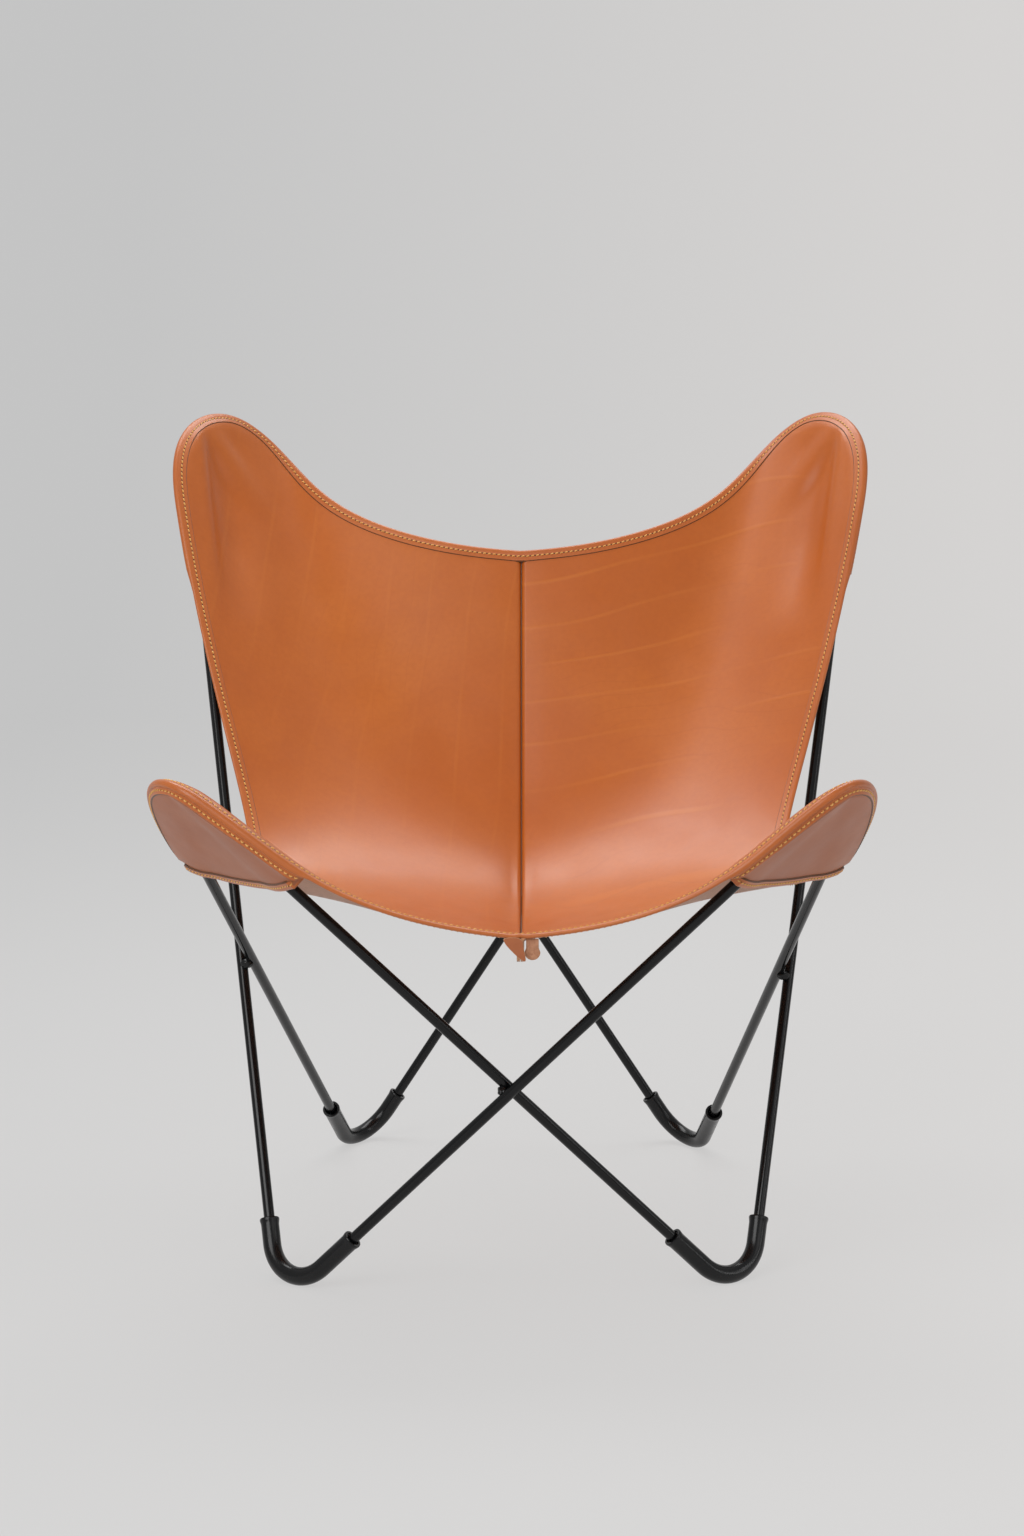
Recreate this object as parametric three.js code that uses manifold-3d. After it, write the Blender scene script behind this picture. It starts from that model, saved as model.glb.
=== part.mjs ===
// A butterfly sling chair. Two closed loops of round steel rod cross each other four times
// and stand on four covered foot bends. A leather sling in two sewn halves hangs from the
// four upper bends, which sit in pockets behind its corners.
// Millimetres, +Z up, -Y towards the front, +X to the right when seen from the front.
import * as THREE from 'three';
import { mergeVertices } from 'three/addons/utils/BufferGeometryUtils.js';
import Module from 'manifold-3d';

const wasm = await Module();
wasm.setup();

// Rod frame: where the straight rods of a loop would meet if they weren't bent
const rodDiameter = 12;
const frontFootHalfWidth = 256;
const frontFootReach = 226;
const backFootHalfWidth = 220;
const backFootReach = 420;
const frontTipReach = 420;
const frontTipHeight = 606;
const backTipHalfWidth = 420;
const backTipReach = 334;
const backTipHeight = 961;
const footBendRadius = 47;
const frontTipBendRadius = 45;
const backTipBendRadius = 30;
const crossingGap = 0.4;

// Welds, one at each crossing
const weldRadius = 6.5;
const weldOffset = 9;

// Foot sleeves
const sleeveDiameter = 20;
const frontSleeveOuterLength = 100;
const frontSleeveInnerLength = 122;
const backSleeveOuterLength = 157;
const backSleeveInnerLength = 103;
const sleeveFlat = 0.5;
const cutOverrun = 40;

// Leather
const panelThickness = 3.2;
const pocketThickness = 2.4;
const fitGap = 0.3;
const layerGap = 0.8;
const edgeClearance = 0.7;
const slipGap = 0.4;

// Sling halves: the seam between them, seen from the side, hangs between the upper bends. Its
// front end has slid a little to the right.
const seamFrontShift = 12;
const seamFrontOverhang = 3;
const seamFrontFall = 185;
const seamTopInset = 8;
const seamTopFall = 192;
const seamFrontReach = frontTipReach + seamFrontOverhang;
const seamFrontHeight = frontTipHeight - seamFrontFall;
const seamTopReach = backTipReach - seamTopInset;
const seamTopHeight = backTipHeight - seamTopFall;
const seamHandleShares = [[0.74, -0.285], [0.69, -0.31]];

// How far and which way each half leaves the seam, from the front edge to the top edge
const flowSpan = 420;
const flowShares = [
  [0.67, 0, 0.058],
  [0.26, -0.155, 0.03],
  [0.243, 0.045, 0.154],
  [0.81, 0, 0.047],
];

// The corners of each half, from the frame's upper bends: along the inner rod, along the
// outer rod and away from both
const frontCornerSpan = 200;
const frontCornerShares = {
  tip: [-1.17, 0.665, -0.205],
  edge: [0.965, -0.485, 0.265],
  side: [1.16, 2.32, 0.105],
  inner: [1.24, 2.145, 0.285],
};
const backCornerSpan = 280;
const backCornerShares = {
  tip: [-0.195, 0.24, 0.013],
  edge: [1.285, -1.225, -0.004],
  side: [-0.215, 2.2, -0.055],
  inner: [0.9, 1.415, 0.065],
};

// Rounding of the outline at the corners, as shares of a half's own width and depth
const frontRoundShares = { edge: 0.34, side: 0.23, fullness: 0.48 };
const backRoundShares = { edge: 0.23, side: 0.09, fullness: 0.79 };

// Seam flanges turned down between the halves
const seamRollRadius = 5;
const flangeFrontDepth = 24;
const flangeTopDepth = 12;

// Edge binding, folded round the edge
const bindingLeg = 13;
const bindingWall = 1;
const bandWidth = 14;

// Pockets: where each one's mouth meets the outline, counted in steps of the outline, and
// how far the mouth is cut in between
const frontPocketStartSteps = 3;
const frontPocketEndSteps = 15;
const backPocketStartSteps = 25;
const backPocketEndSteps = 34;
const mouthBowShare = 0.06;
const pocketDroop = 4;
const mouthLeg = 10;
const mouthGap = 0.5;
const mouthInset = 24;

// Leather tab under the front end of the seam
const tabWidth = 16;
const tabLength = 22;
const tabThickness = 3;
const tabSetback = 2;
const tabGap = 0.8;

// Steps that round shapes are drawn with
const rodSides = 12;
const bendSteps = 8;
const weldSides = 12;
const edgeSteps = 7;
const frontRoundSteps = 9;
const sideSteps = 10;
const backRoundSteps = 8;
const topSteps = 8;
const relaxRounds = 60;

const point = (x, y, z) => new THREE.Vector3(x, y, z);
const toward = (from, to) => to.clone().sub(from).normalize();
const shifted = (start, direction, distance) => start.clone().addScaledVector(direction, distance);
const between = (from, to, share) => from.clone().lerp(to, share);
const down = point(0, 0, -1);
const across = point(1, 0, 0);

// A closed body from a list of corners and a list of triangles
function closedBody(corners, triangles) {
  let volume = 0;
  for (const [a, b, c] of triangles) {
    volume += corners[a].dot(corners[b].clone().cross(corners[c]));
  }
  const ordered = volume > 0 ? triangles : triangles.map(([a, b, c]) => [a, c, b]);
  const geometry = new THREE.BufferGeometry();
  const numbers = corners.flatMap((p) => p.toArray());
  geometry.setAttribute('position', new THREE.Float32BufferAttribute(numbers, 3));
  geometry.setIndex(ordered.flat());
  geometry.computeVertexNormals();
  return geometry;
}

// A closed body from rings of equally many points. The last ring joins the first, turned by
// a number of points.
function ringBody(rings, turn = 0) {
  const sides = rings[0].length;
  const triangles = [];
  rings.forEach((ring, i) => {
    const last = i === rings.length - 1;
    for (let k = 0; k < sides; k++) {
      const a = i * sides + k;
      const b = i * sides + (k + 1) % sides;
      const next = last ? 0 : (i + 1) * sides;
      const shift = last ? turn : 0;
      const c = next + (k + shift + sides) % sides;
      const d = next + (k + 1 + shift + sides) % sides;
      triangles.push([a, b, d], [a, d, c]);
    }
  });
  return closedBody(rings.flat(), triangles);
}

// A closed body from the rings of a binding, which has eight points round its section. Its
// four-sided faces are halved along the same diagonals as the leather's, and from one ring
// on along the other ones.
function barBody(rings, turnAt = rings.length, turned = false) {
  const sides = rings[0].length;
  const triangles = [];
  for (let i = 0; i < rings.length - 1; i++) {
    for (let k = 0; k < sides; k++) {
      const a = i * sides + k;
      const b = i * sides + (k + 1) % sides;
      const ontoEdge = k % 4 === 0;
      const other = (i >= turnAt) !== turned;
      if (ontoEdge !== other) triangles.push([a, b, a + sides], [b, b + sides, a + sides]);
      else triangles.push([a, b, b + sides], [a, b + sides, a + sides]);
    }
  }
  const far = (rings.length - 1) * sides;
  for (let k = 0; k < sides / 2 - 1; k++) {
    const mate = sides - 1 - k;
    triangles.push([k, mate, mate - 1], [k, mate - 1, k + 1]);
    triangles.push([far + k, far + mate - 1, far + mate], [far + k, far + k + 1, far + mate - 1]);
  }
  return closedBody(rings.flat(), triangles);
}

function toSolid(geometry) {
  const plain = geometry.clone();
  for (const name of Object.keys(plain.attributes)) {
    if (name !== 'position') plain.deleteAttribute(name);
  }
  const merged = mergeVertices(plain);
  return new wasm.Manifold(new wasm.Mesh({
    numProp: 3,
    vertProperties: new Float32Array(merged.attributes.position.array),
    triVerts: new Uint32Array(merged.index.array),
  }));
}

function fromSolid(solid) {
  const mesh = solid.getMesh();
  const geometry = new THREE.BufferGeometry();
  geometry.setAttribute('position', new THREE.Float32BufferAttribute(mesh.vertProperties, 3));
  geometry.setIndex(Array.from(mesh.triVerts));
  geometry.computeVertexNormals();
  return geometry;
}

// The rounded corner of a loop between its two straight rods
function bendAt(corner, before, after, radius) {
  const first = toward(corner, before);
  const second = toward(corner, after);
  const half = first.angleTo(second) / 2;
  const reach = radius / Math.tan(half);
  const centre = shifted(corner, first.clone().add(second).normalize(), radius / Math.sin(half));
  const start = shifted(corner, first, reach).sub(centre);
  const end = shifted(corner, second, reach).sub(centre);
  const turn = start.angleTo(end);
  const at = (share) => start.clone().multiplyScalar(Math.sin((1 - share) * turn) / Math.sin(turn))
    .addScaledVector(end, Math.sin(share * turn) / Math.sin(turn)).add(centre);
  const points = Array.from({ length: bendSteps + 1 }, (_, i) => at(i / bendSteps));
  const normal = start.clone().cross(end).normalize();
  const steepest = shifted(down, normal, -down.dot(normal)).normalize();
  return { points, lowest: shifted(centre, steepest, radius) };
}

// One loop runs front foot, opposite front tip, back foot on that side, opposite back tip.
// The feet are set so that the sleeves round them reach the floor.
function loopCorners(side, stagger, frontTipHalfWidth) {
  const shift = side * stagger / 2;
  const corners = [
    point(side * frontFootHalfWidth, shift - frontFootReach, 0),
    point(-side * frontTipHalfWidth, shift - frontTipReach, frontTipHeight),
    point(-side * backFootHalfWidth, shift + backFootReach, 0),
    point(side * backTipHalfWidth, shift + backTipReach, backTipHeight),
  ];
  const [frontFoot, frontTip, backFoot, backTip] = corners;
  const footHeight = sleeveDiameter / 2 - sleeveFlat;
  for (let round = 0; round < 6; round++) {
    frontFoot.z += footHeight - bendAt(frontFoot, frontTip, backTip, footBendRadius).lowest.z;
    backFoot.z += footHeight - bendAt(backFoot, frontTip, backTip, footBendRadius).lowest.z;
  }
  return corners;
}

// The nearest points of two straight rods, and the distance between their centre lines
function crossing([a, b], [c, d]) {
  const first = toward(a, b);
  const second = toward(c, d);
  const square = first.clone().cross(second);
  const normal = square.clone().normalize();
  const offset = c.clone().sub(a);
  const distance = offset.dot(normal);
  const onFirst = shifted(a, first, offset.clone().cross(second).dot(square) / square.lengthSq());
  const onSecond = shifted(onFirst, normal, distance);
  return { distance: Math.abs(distance), onFirst, onSecond, first, second };
}

// The loops stand one behind the other by just enough for the rods to pass at the front
// crossing, and the front tips spread until the rods pass at the sides
const clearDistance = rodDiameter + crossingGap;
function sideDistance(stagger, halfWidth) {
  const left = loopCorners(-1, stagger, halfWidth);
  const right = loopCorners(1, stagger, halfWidth);
  return Math.min(
    crossing([left[0], left[3]], [right[1], right[2]]).distance,
    crossing([right[0], right[3]], [left[1], left[2]]).distance,
  );
}
let stagger = clearDistance;
let frontTipHalfWidth = (frontFootHalfWidth + backTipHalfWidth) / 2;
for (let round = 0; round < 12; round++) {
  const left = loopCorners(-1, stagger, frontTipHalfWidth);
  const right = loopCorners(1, stagger, frontTipHalfWidth);
  stagger *= clearDistance / crossing([left[0], left[1]], [right[0], right[1]]).distance;
  const here = sideDistance(stagger, frontTipHalfWidth);
  const slope = (sideDistance(stagger, frontTipHalfWidth + crossingGap) - here) / crossingGap;
  frontTipHalfWidth += (clearDistance - here) / slope;
}
const corners = {
  left: loopCorners(-1, stagger, frontTipHalfWidth),
  right: loopCorners(1, stagger, frontTipHalfWidth),
};

const materials = {
  rod: new THREE.MeshStandardMaterial({ color: 0x0b0b0c, roughness: 0.22, metalness: 0.3 }),
  sleeve: new THREE.MeshStandardMaterial({ color: 0x101011, roughness: 0.35, metalness: 0 }),
  leather: new THREE.MeshStandardMaterial({ color: 0xb5662e, roughness: 0.45, metalness: 0 }),
  underside: new THREE.MeshStandardMaterial({ color: 0x9a5738, roughness: 0.6, metalness: 0 }),
  binding: new THREE.MeshStandardMaterial({ color: 0xbf6c30, roughness: 0.4, metalness: 0 }),
};

const chair = new THREE.Group();
function addPiece(name, geometry, material) {
  const piece = new THREE.Mesh(geometry, material);
  piece.name = name;
  chair.add(piece);
}

// Directions square to a path at each of its points, carried along without twisting
function carriedDirections(path, closed) {
  const count = path.length;
  const tangents = path.map((p, i) => {
    const before = closed || i > 0 ? toward(path[(i + count - 1) % count], p) : toward(p, path[i + 1]);
    const after = closed || i < count - 1 ? toward(p, path[(i + 1) % count]) : before;
    return before.clone().add(after).normalize();
  });
  const normals = [across.clone().cross(tangents[0]).normalize()];
  const carry = (normal, tangent) => shifted(normal, tangent, -normal.dot(tangent)).normalize();
  for (let i = 1; i < count; i++) normals.push(carry(normals[i - 1], tangents[i]));
  const sides = tangents.map((tangent, i) => tangent.clone().cross(normals[i]));
  const returned = closed ? carry(normals[count - 1], tangents[0]) : normals[0];
  const twist = Math.atan2(returned.dot(sides[0]), returned.dot(normals[0]));
  return { normals, sides, twist };
}

function circle(centre, first, second, radius, start = 0) {
  return Array.from({ length: rodSides }, (_, k) => {
    const angle = start + (k / rodSides) * 2 * Math.PI;
    return shifted(shifted(centre, first, radius * Math.cos(angle)), second, radius * Math.sin(angle));
  });
}

function closedRod(path, radius) {
  const { normals, sides, twist } = carriedDirections(path, true);
  const step = 2 * Math.PI / rodSides;
  const turn = Math.round(twist / step);
  const extra = (turn * step - twist) / path.length;
  const rings = path.map((p, i) => circle(p, normals[i], sides[i], radius, i * extra));
  return ringBody(rings, -turn);
}

const bendRadii = [footBendRadius, frontTipBendRadius, footBendRadius, backTipBendRadius];
for (const [side, loop] of Object.entries(corners)) {
  const path = loop.flatMap((corner, i) => {
    const before = loop[(i + loop.length - 1) % loop.length];
    return bendAt(corner, before, loop[(i + 1) % loop.length], bendRadii[i]).points;
  });
  addPiece(`${side}_rod_loop`, closedRod(path, rodDiameter / 2), materials.rod);
}

// Sleeves over the foot bends, cut flat where they stand
const cutSize = 2 * (frontFootHalfWidth + backFootReach);
const floorCut = toSolid(
  new THREE.BoxGeometry(cutSize, cutSize, cutOverrun).translate(0, 0, -cutOverrun / 2),
);
const feet = [
  { name: 'front_left', loop: corners.left, foot: 0, outer: 3, inner: 1 },
  { name: 'front_right', loop: corners.right, foot: 0, outer: 3, inner: 1 },
  { name: 'back_left', loop: corners.right, foot: 2, outer: 1, inner: 3 },
  { name: 'back_right', loop: corners.left, foot: 2, outer: 1, inner: 3 },
];
for (const { name, loop, foot, outer, inner } of feet) {
  const atFront = foot === 0;
  const outerLength = atFront ? frontSleeveOuterLength : backSleeveOuterLength;
  const innerLength = atFront ? frontSleeveInnerLength : backSleeveInnerLength;
  const corner = loop[foot];
  const path = [
    shifted(corner, toward(corner, loop[outer]), outerLength),
    ...bendAt(corner, loop[outer], loop[inner], footBendRadius).points,
    shifted(corner, toward(corner, loop[inner]), innerLength),
  ];
  const { normals, sides } = carriedDirections(path, false);
  const outside = path.map((p, i) => circle(p, normals[i], sides[i], sleeveDiameter / 2));
  const bore = path.map((p, i) => circle(p, normals[i], sides[i], rodDiameter / 2 + fitGap));
  const sleeve = toSolid(ringBody([...outside, ...bore.reverse()])).subtract(floorCut);
  addPiece(`${name}_foot_sleeve`, fromSolid(sleeve), materials.sleeve);
}

// A bead of weld in one corner of each crossing, cut to both rods
function weld(first, second, side) {
  const meet = crossing(first, second);
  const centre = between(meet.onFirst, meet.onSecond, 0.5);
  const lean = meet.first.clone().multiplyScalar(Math.sign(meet.first.dot(side)));
  const other = meet.second.clone().multiplyScalar(Math.sign(meet.second.dot(side)));
  const outward = lean.add(other).normalize();
  const bead = new THREE.SphereGeometry(weldRadius, weldSides, weldSides / 2);
  bead.translate(...shifted(centre, outward, weldOffset).toArray());
  let solid = toSolid(bead);
  const boreRadius = rodDiameter / 2 + fitGap;
  for (const [on, along] of [[meet.onFirst, meet.first], [meet.onSecond, meet.second]]) {
    const rod = new THREE.CylinderGeometry(boreRadius, boreRadius, cutOverrun, 2 * rodSides);
    rod.applyQuaternion(new THREE.Quaternion().setFromUnitVectors(point(0, 1, 0), along));
    rod.translate(...on.toArray());
    solid = solid.subtract(toSolid(rod));
  }
  return fromSolid(solid);
}
const { left: leftLoop, right: rightLoop } = corners;
const front = point(0, -1, 0);
const leftward = point(-1, 0, 0);
const crossings = [
  ['front_weld', [leftLoop[0], leftLoop[1]], [rightLoop[0], rightLoop[1]], leftward],
  ['back_weld', [leftLoop[2], leftLoop[3]], [rightLoop[2], rightLoop[3]], leftward],
  ['left_weld', [leftLoop[0], leftLoop[3]], [rightLoop[1], rightLoop[2]], front],
  ['right_weld', [rightLoop[0], rightLoop[3]], [leftLoop[1], leftLoop[2]], front],
];
for (const [name, first, second, side] of crossings) {
  addPiece(name, weld(first, second, side), materials.rod);
}

// The sling: each half is a smooth surface over a net of four by four points, from the seam
// to the side edge and from the front edge to the top edge
const weights = (t) => [(1 - t) ** 3, 3 * t * (1 - t) ** 2, 3 * t * t * (1 - t), t ** 3];
const weightSlopes = (t) => [
  -3 * (1 - t) ** 2,
  3 * (1 - t) * (1 - 3 * t),
  3 * t * (2 - 3 * t),
  3 * t * t,
];
function blend(net, acrossWeights, alongWeights) {
  const sum = point(0, 0, 0);
  net.forEach((column, i) => {
    column.forEach((p, j) => sum.addScaledVector(p, acrossWeights[i] * alongWeights[j]));
  });
  return sum;
}
const onNet = (net, [u, v]) => blend(net, weights(u), weights(v));
const slopeAcross = (net, [u, v]) => blend(net, weightSlopes(u), weights(v));
const slopeAlong = (net, [u, v]) => blend(net, weights(u), weightSlopes(v));
function upward(net, side, uv) {
  return slopeAcross(net, uv).cross(slopeAlong(net, uv)).multiplyScalar(side).normalize();
}

// The two rods at an upper bend, and the way the leather lies off them
function tipFrame(loop, tip, inner, outer) {
  const alongInner = toward(loop[tip], loop[inner]);
  const alongOuter = toward(loop[tip], loop[outer]);
  const off = alongInner.clone().cross(alongOuter).normalize();
  if (off.z < 0) off.negate();
  return { corner: loop[tip], alongInner, alongOuter, off };
}
const restHeight = rodDiameter / 2 + slipGap + panelThickness / 2;
function fromTip({ corner, alongInner, alongOuter, off }, span, [inner, outer, rise]) {
  const place = shifted(shifted(corner, alongInner, span * inner), alongOuter, span * outer);
  return shifted(place, off, restHeight + span * rise);
}

function halfNet(side, frontTip, backTip) {
  const seamStart = point(seamFrontShift, -seamFrontReach, seamFrontHeight);
  const seamEnd = point(0, seamTopReach, seamTopHeight);
  const run = seamEnd.clone().sub(seamStart);
  const handles = seamHandleShares.map(([along, rise]) => {
    return seamStart.clone().add(point(run.x * along, run.y * along, run.z * rise));
  });
  const seam = [seamStart, ...handles, seamEnd];
  const flow = seam.map((p, j) => {
    const [x, y, z] = flowShares[j];
    return shifted(p, point(side * x, y, z), flowSpan);
  });
  const column = (end, middle) => [
    fromTip(frontTip, frontCornerSpan, frontCornerShares[end]),
    fromTip(frontTip, frontCornerSpan, frontCornerShares[middle]),
    fromTip(backTip, backCornerSpan, backCornerShares[middle]),
    fromTip(backTip, backCornerSpan, backCornerShares[end]),
  ];
  return [seam, flow, column('edge', 'inner'), column('tip', 'side')];
}

// The outline of a half in the net's own terms, from the front end of the seam round both
// rounded corners to its top end
const rollReach = seamRollRadius + fitGap / 2 + slipGap / 2 + panelThickness / 2;
const seamStartShare = (net, v) => rollReach / Math.abs(slopeAcross(net, [0, v]).x);
const mix = (from, to, share) => from.map((value, axis) => value + (to[axis] - value) * share);
const straight = (from, to, steps) => Array.from({ length: steps }, (_, i) => mix(from, to, i / steps));
function rounded(from, corner, to, fullness, steps) {
  const controls = [from, mix(from, corner, fullness), mix(to, corner, fullness), to];
  return Array.from({ length: steps }, (_, i) => {
    const shares = weights(i / steps);
    return from.map((_, axis) => controls.reduce((sum, p, k) => sum + shares[k] * p[axis], 0));
  });
}
function outline(net) {
  const seamFront = [seamStartShare(net, 0), 0];
  const frontEnd = [1 - frontRoundShares.edge, 0];
  const sideStart = [1, frontRoundShares.side];
  const sideEnd = [1, 1 - backRoundShares.side];
  const topStart = [1 - backRoundShares.edge, 1];
  const seamTop = [seamStartShare(net, 1), 1];
  return [
    ...straight(seamFront, frontEnd, edgeSteps),
    ...rounded(frontEnd, [1, 0], sideStart, frontRoundShares.fullness, frontRoundSteps),
    ...straight(sideStart, sideEnd, sideSteps),
    ...rounded(sideEnd, [1, 1], topStart, backRoundShares.fullness, backRoundSteps),
    ...straight(topStart, seamTop, topSteps),
    seamTop,
  ];
}

// A move of one length across the surface, square to the outline and inwards
function inward(net, side, uvs, i, distance) {
  const before = onNet(net, uvs[Math.max(i - 1, 0)]);
  const after = onNet(net, uvs[Math.min(i + 1, uvs.length - 1)]);
  const way = upward(net, side, uvs[i]).cross(toward(before, after)).multiplyScalar(side);
  const du = slopeAcross(net, uvs[i]);
  const dv = slopeAlong(net, uvs[i]);
  const [uu, uv, vv] = [du.dot(du), du.dot(dv), dv.dot(dv)];
  const [a, b] = [way.dot(du) * distance, way.dot(dv) * distance];
  const size = uu * vv - uv * uv;
  const [u, v] = uvs[i];
  return [u + (a * vv - b * uv) / size, v + (b * uu - a * uv) / size];
}

// Points inside an outline with four sides, evened out
function fillGrid(bottom, right, top, left) {
  const n = bottom.length - 1;
  const m = right.length - 1;
  const grid = bottom.map((start, i) => right.map((end, j) => {
    const [s, t] = [i / n, j / m];
    return bottom[0].map((_, axis) => (1 - t) * bottom[i][axis] + t * top[i][axis]
      + (1 - s) * left[j][axis] + s * right[j][axis]
      - (1 - s) * (1 - t) * bottom[0][axis] - s * (1 - t) * bottom[n][axis]
      - (1 - s) * t * top[0][axis] - s * t * top[n][axis]);
  }));
  for (let round = 0; round < relaxRounds; round++) {
    for (let i = 1; i < n; i++) {
      for (let j = 1; j < m; j++) {
        const near = [grid[i - 1][j], grid[i + 1][j], grid[i][j - 1], grid[i][j + 1]];
        grid[i][j] = near[0].map((_, axis) => near.reduce((sum, p) => sum + p[axis], 0) / near.length);
      }
    }
  }
  return grid;
}

// A surface of corners and four-sided faces, and its upward directions
function makeSheet() {
  const places = [];
  const faces = [];
  return {
    places,
    faces,
    add(place) {
      places.push(place);
      return places.length - 1;
    },
    quad(side, a, b, c, d) {
      if (side > 0) faces.push([a, b, c], [a, c, d]);
      else faces.push([a, c, b], [a, d, c]);
    },
    directions() {
      const sums = places.map(() => point(0, 0, 0));
      for (const [a, b, c] of faces) {
        const alongFirst = places[b].clone().sub(places[a]);
        const normal = alongFirst.cross(places[c].clone().sub(places[a])).normalize();
        for (const i of [a, b, c]) sums[i].add(normal);
      }
      return sums.map((sum) => sum.normalize());
    },
  };
}

// Thickens a surface evenly to both sides
function thicken(sheet, directions, thickness) {
  const count = sheet.places.length;
  const above = sheet.places.map((p, i) => shifted(p, directions[i], thickness / 2));
  const below = sheet.places.map((p, i) => shifted(p, directions[i], -thickness / 2));
  const triangles = [];
  const edges = new Map();
  for (const [a, b, c] of sheet.faces) {
    triangles.push([a, b, c], [a + count, c + count, b + count]);
    for (const [from, to] of [[a, b], [b, c], [c, a]]) edges.set(`${from} ${to}`, [from, to]);
  }
  for (const [from, to] of edges.values()) {
    if (edges.has(`${to} ${from}`)) continue;
    triangles.push([to, from, from + count], [to, from + count, to + count]);
  }
  return closedBody([...above, ...below], triangles);
}

// The inner points stand in a grid whose corners are the seam's ends and the middles of the
// rounded corners
const frontCorner = edgeSteps + Math.ceil(frontRoundSteps / 2);
const backCorner = edgeSteps + frontRoundSteps + sideSteps + backRoundSteps / 2;
const depthSteps = backCorner - frontCorner;

function buildHalf(side) {
  const name = side < 0 ? 'left' : 'right';
  const own = side < 0 ? corners.left : corners.right;
  const opposite = side < 0 ? corners.right : corners.left;
  const frontTip = tipFrame(opposite, 1, 0, 2);
  const backTip = tipFrame(own, 3, 2, 0);
  const net = halfNet(side, frontTip, backTip);
  const rim = outline(net);
  const band = rim.map((_, i) => inward(net, side, rim, i, bandWidth));
  const last = rim.length - 1;
  band[0] = [seamStartShare(net, band[0][1]), band[0][1]];
  band[last] = [seamStartShare(net, band[last][1]), band[last][1]];

  const left = Array.from({ length: depthSteps + 1 }, (_, j) => {
    const v = band[0][1] + (band[last][1] - band[0][1]) * j / depthSteps;
    return [seamStartShare(net, v), v];
  });
  const grid = fillGrid(
    band.slice(0, frontCorner + 1),
    band.slice(frontCorner, backCorner + 1),
    band.slice(backCorner).reverse(),
    left,
  );

  const sheet = makeSheet();
  const pocketRun = backPocketEndSteps - backPocketStartSteps;
  const droop = (i) => {
    const share = (i - backPocketStartSteps) / pocketRun;
    return share > 0 && share < 1 ? pocketDroop * Math.sin(Math.PI * share) : 0;
  };
  const rimIds = rim.map((uv, i) => sheet.add(shifted(onNet(net, uv), backTip.off, -droop(i))));
  const gridIds = grid.map((column) => column.map((uv) => sheet.add(onNet(net, uv))));
  const bandIds = [
    ...gridIds.map((column) => column[0]),
    ...gridIds[frontCorner].slice(1, -1),
    ...gridIds.map((column) => column[depthSteps]).reverse(),
  ];
  for (let i = 0; i < frontCorner; i++) {
    for (let j = 0; j < depthSteps; j++) {
      const [here, next] = [gridIds[i], gridIds[i + 1]];
      sheet.quad(side, here[j], next[j], next[j + 1], here[j + 1]);
    }
  }
  for (let i = 0; i < last; i++) sheet.quad(side, rimIds[i], rimIds[i + 1], bandIds[i + 1], bandIds[i]);

  // The seam side rolls down into a flange
  const flangeX = rollReach - seamRollRadius;
  const quarterFall = seamRollRadius * (1 - Math.SQRT1_2);
  const seamIds = [rimIds[0], ...gridIds[0], rimIds[last]];
  const seamUvs = [rim[0], ...left, rim[last]];
  const strips = seamUvs.map(([, v], k) => {
    const top = sheet.places[seamIds[k]];
    const seamX = onNet(net, [0, v]).x;
    const seamRun = slopeAlong(net, [0, v]).normalize();
    const drop = across.clone().cross(seamRun).negate();
    const depth = flangeFrontDepth + (flangeTopDepth - flangeFrontDepth) * v;
    const at = (x, fall) => sheet.add(shifted(point(seamX + side * x, top.y, top.z), drop, fall));
    return [
      seamIds[k],
      at(flangeX + quarterFall, quarterFall),
      at(flangeX, seamRollRadius),
      at(flangeX, depth),
    ];
  });
  for (let k = 0; k < strips.length - 1; k++) {
    const [here, next] = [strips[k], strips[k + 1]];
    for (let i = 0; i < here.length - 1; i++) sheet.quad(side, here[i + 1], here[i], next[i], next[i + 1]);
  }
  const directions = sheet.directions();
  addPiece(`${name}_leather_panel`, thicken(sheet, directions, panelThickness), materials.leather);
  const edge = rimIds.map((id, i) => ({
    rim: sheet.places[id],
    rimUp: directions[id],
    band: sheet.places[bandIds[i]],
    bandUp: directions[bandIds[i]],
    thickness: panelThickness,
  }));
  return { side, name, net, rim, band, edge, frontTip, backTip };
}
const halves = [buildHalf(-1), buildHalf(1)];

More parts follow.
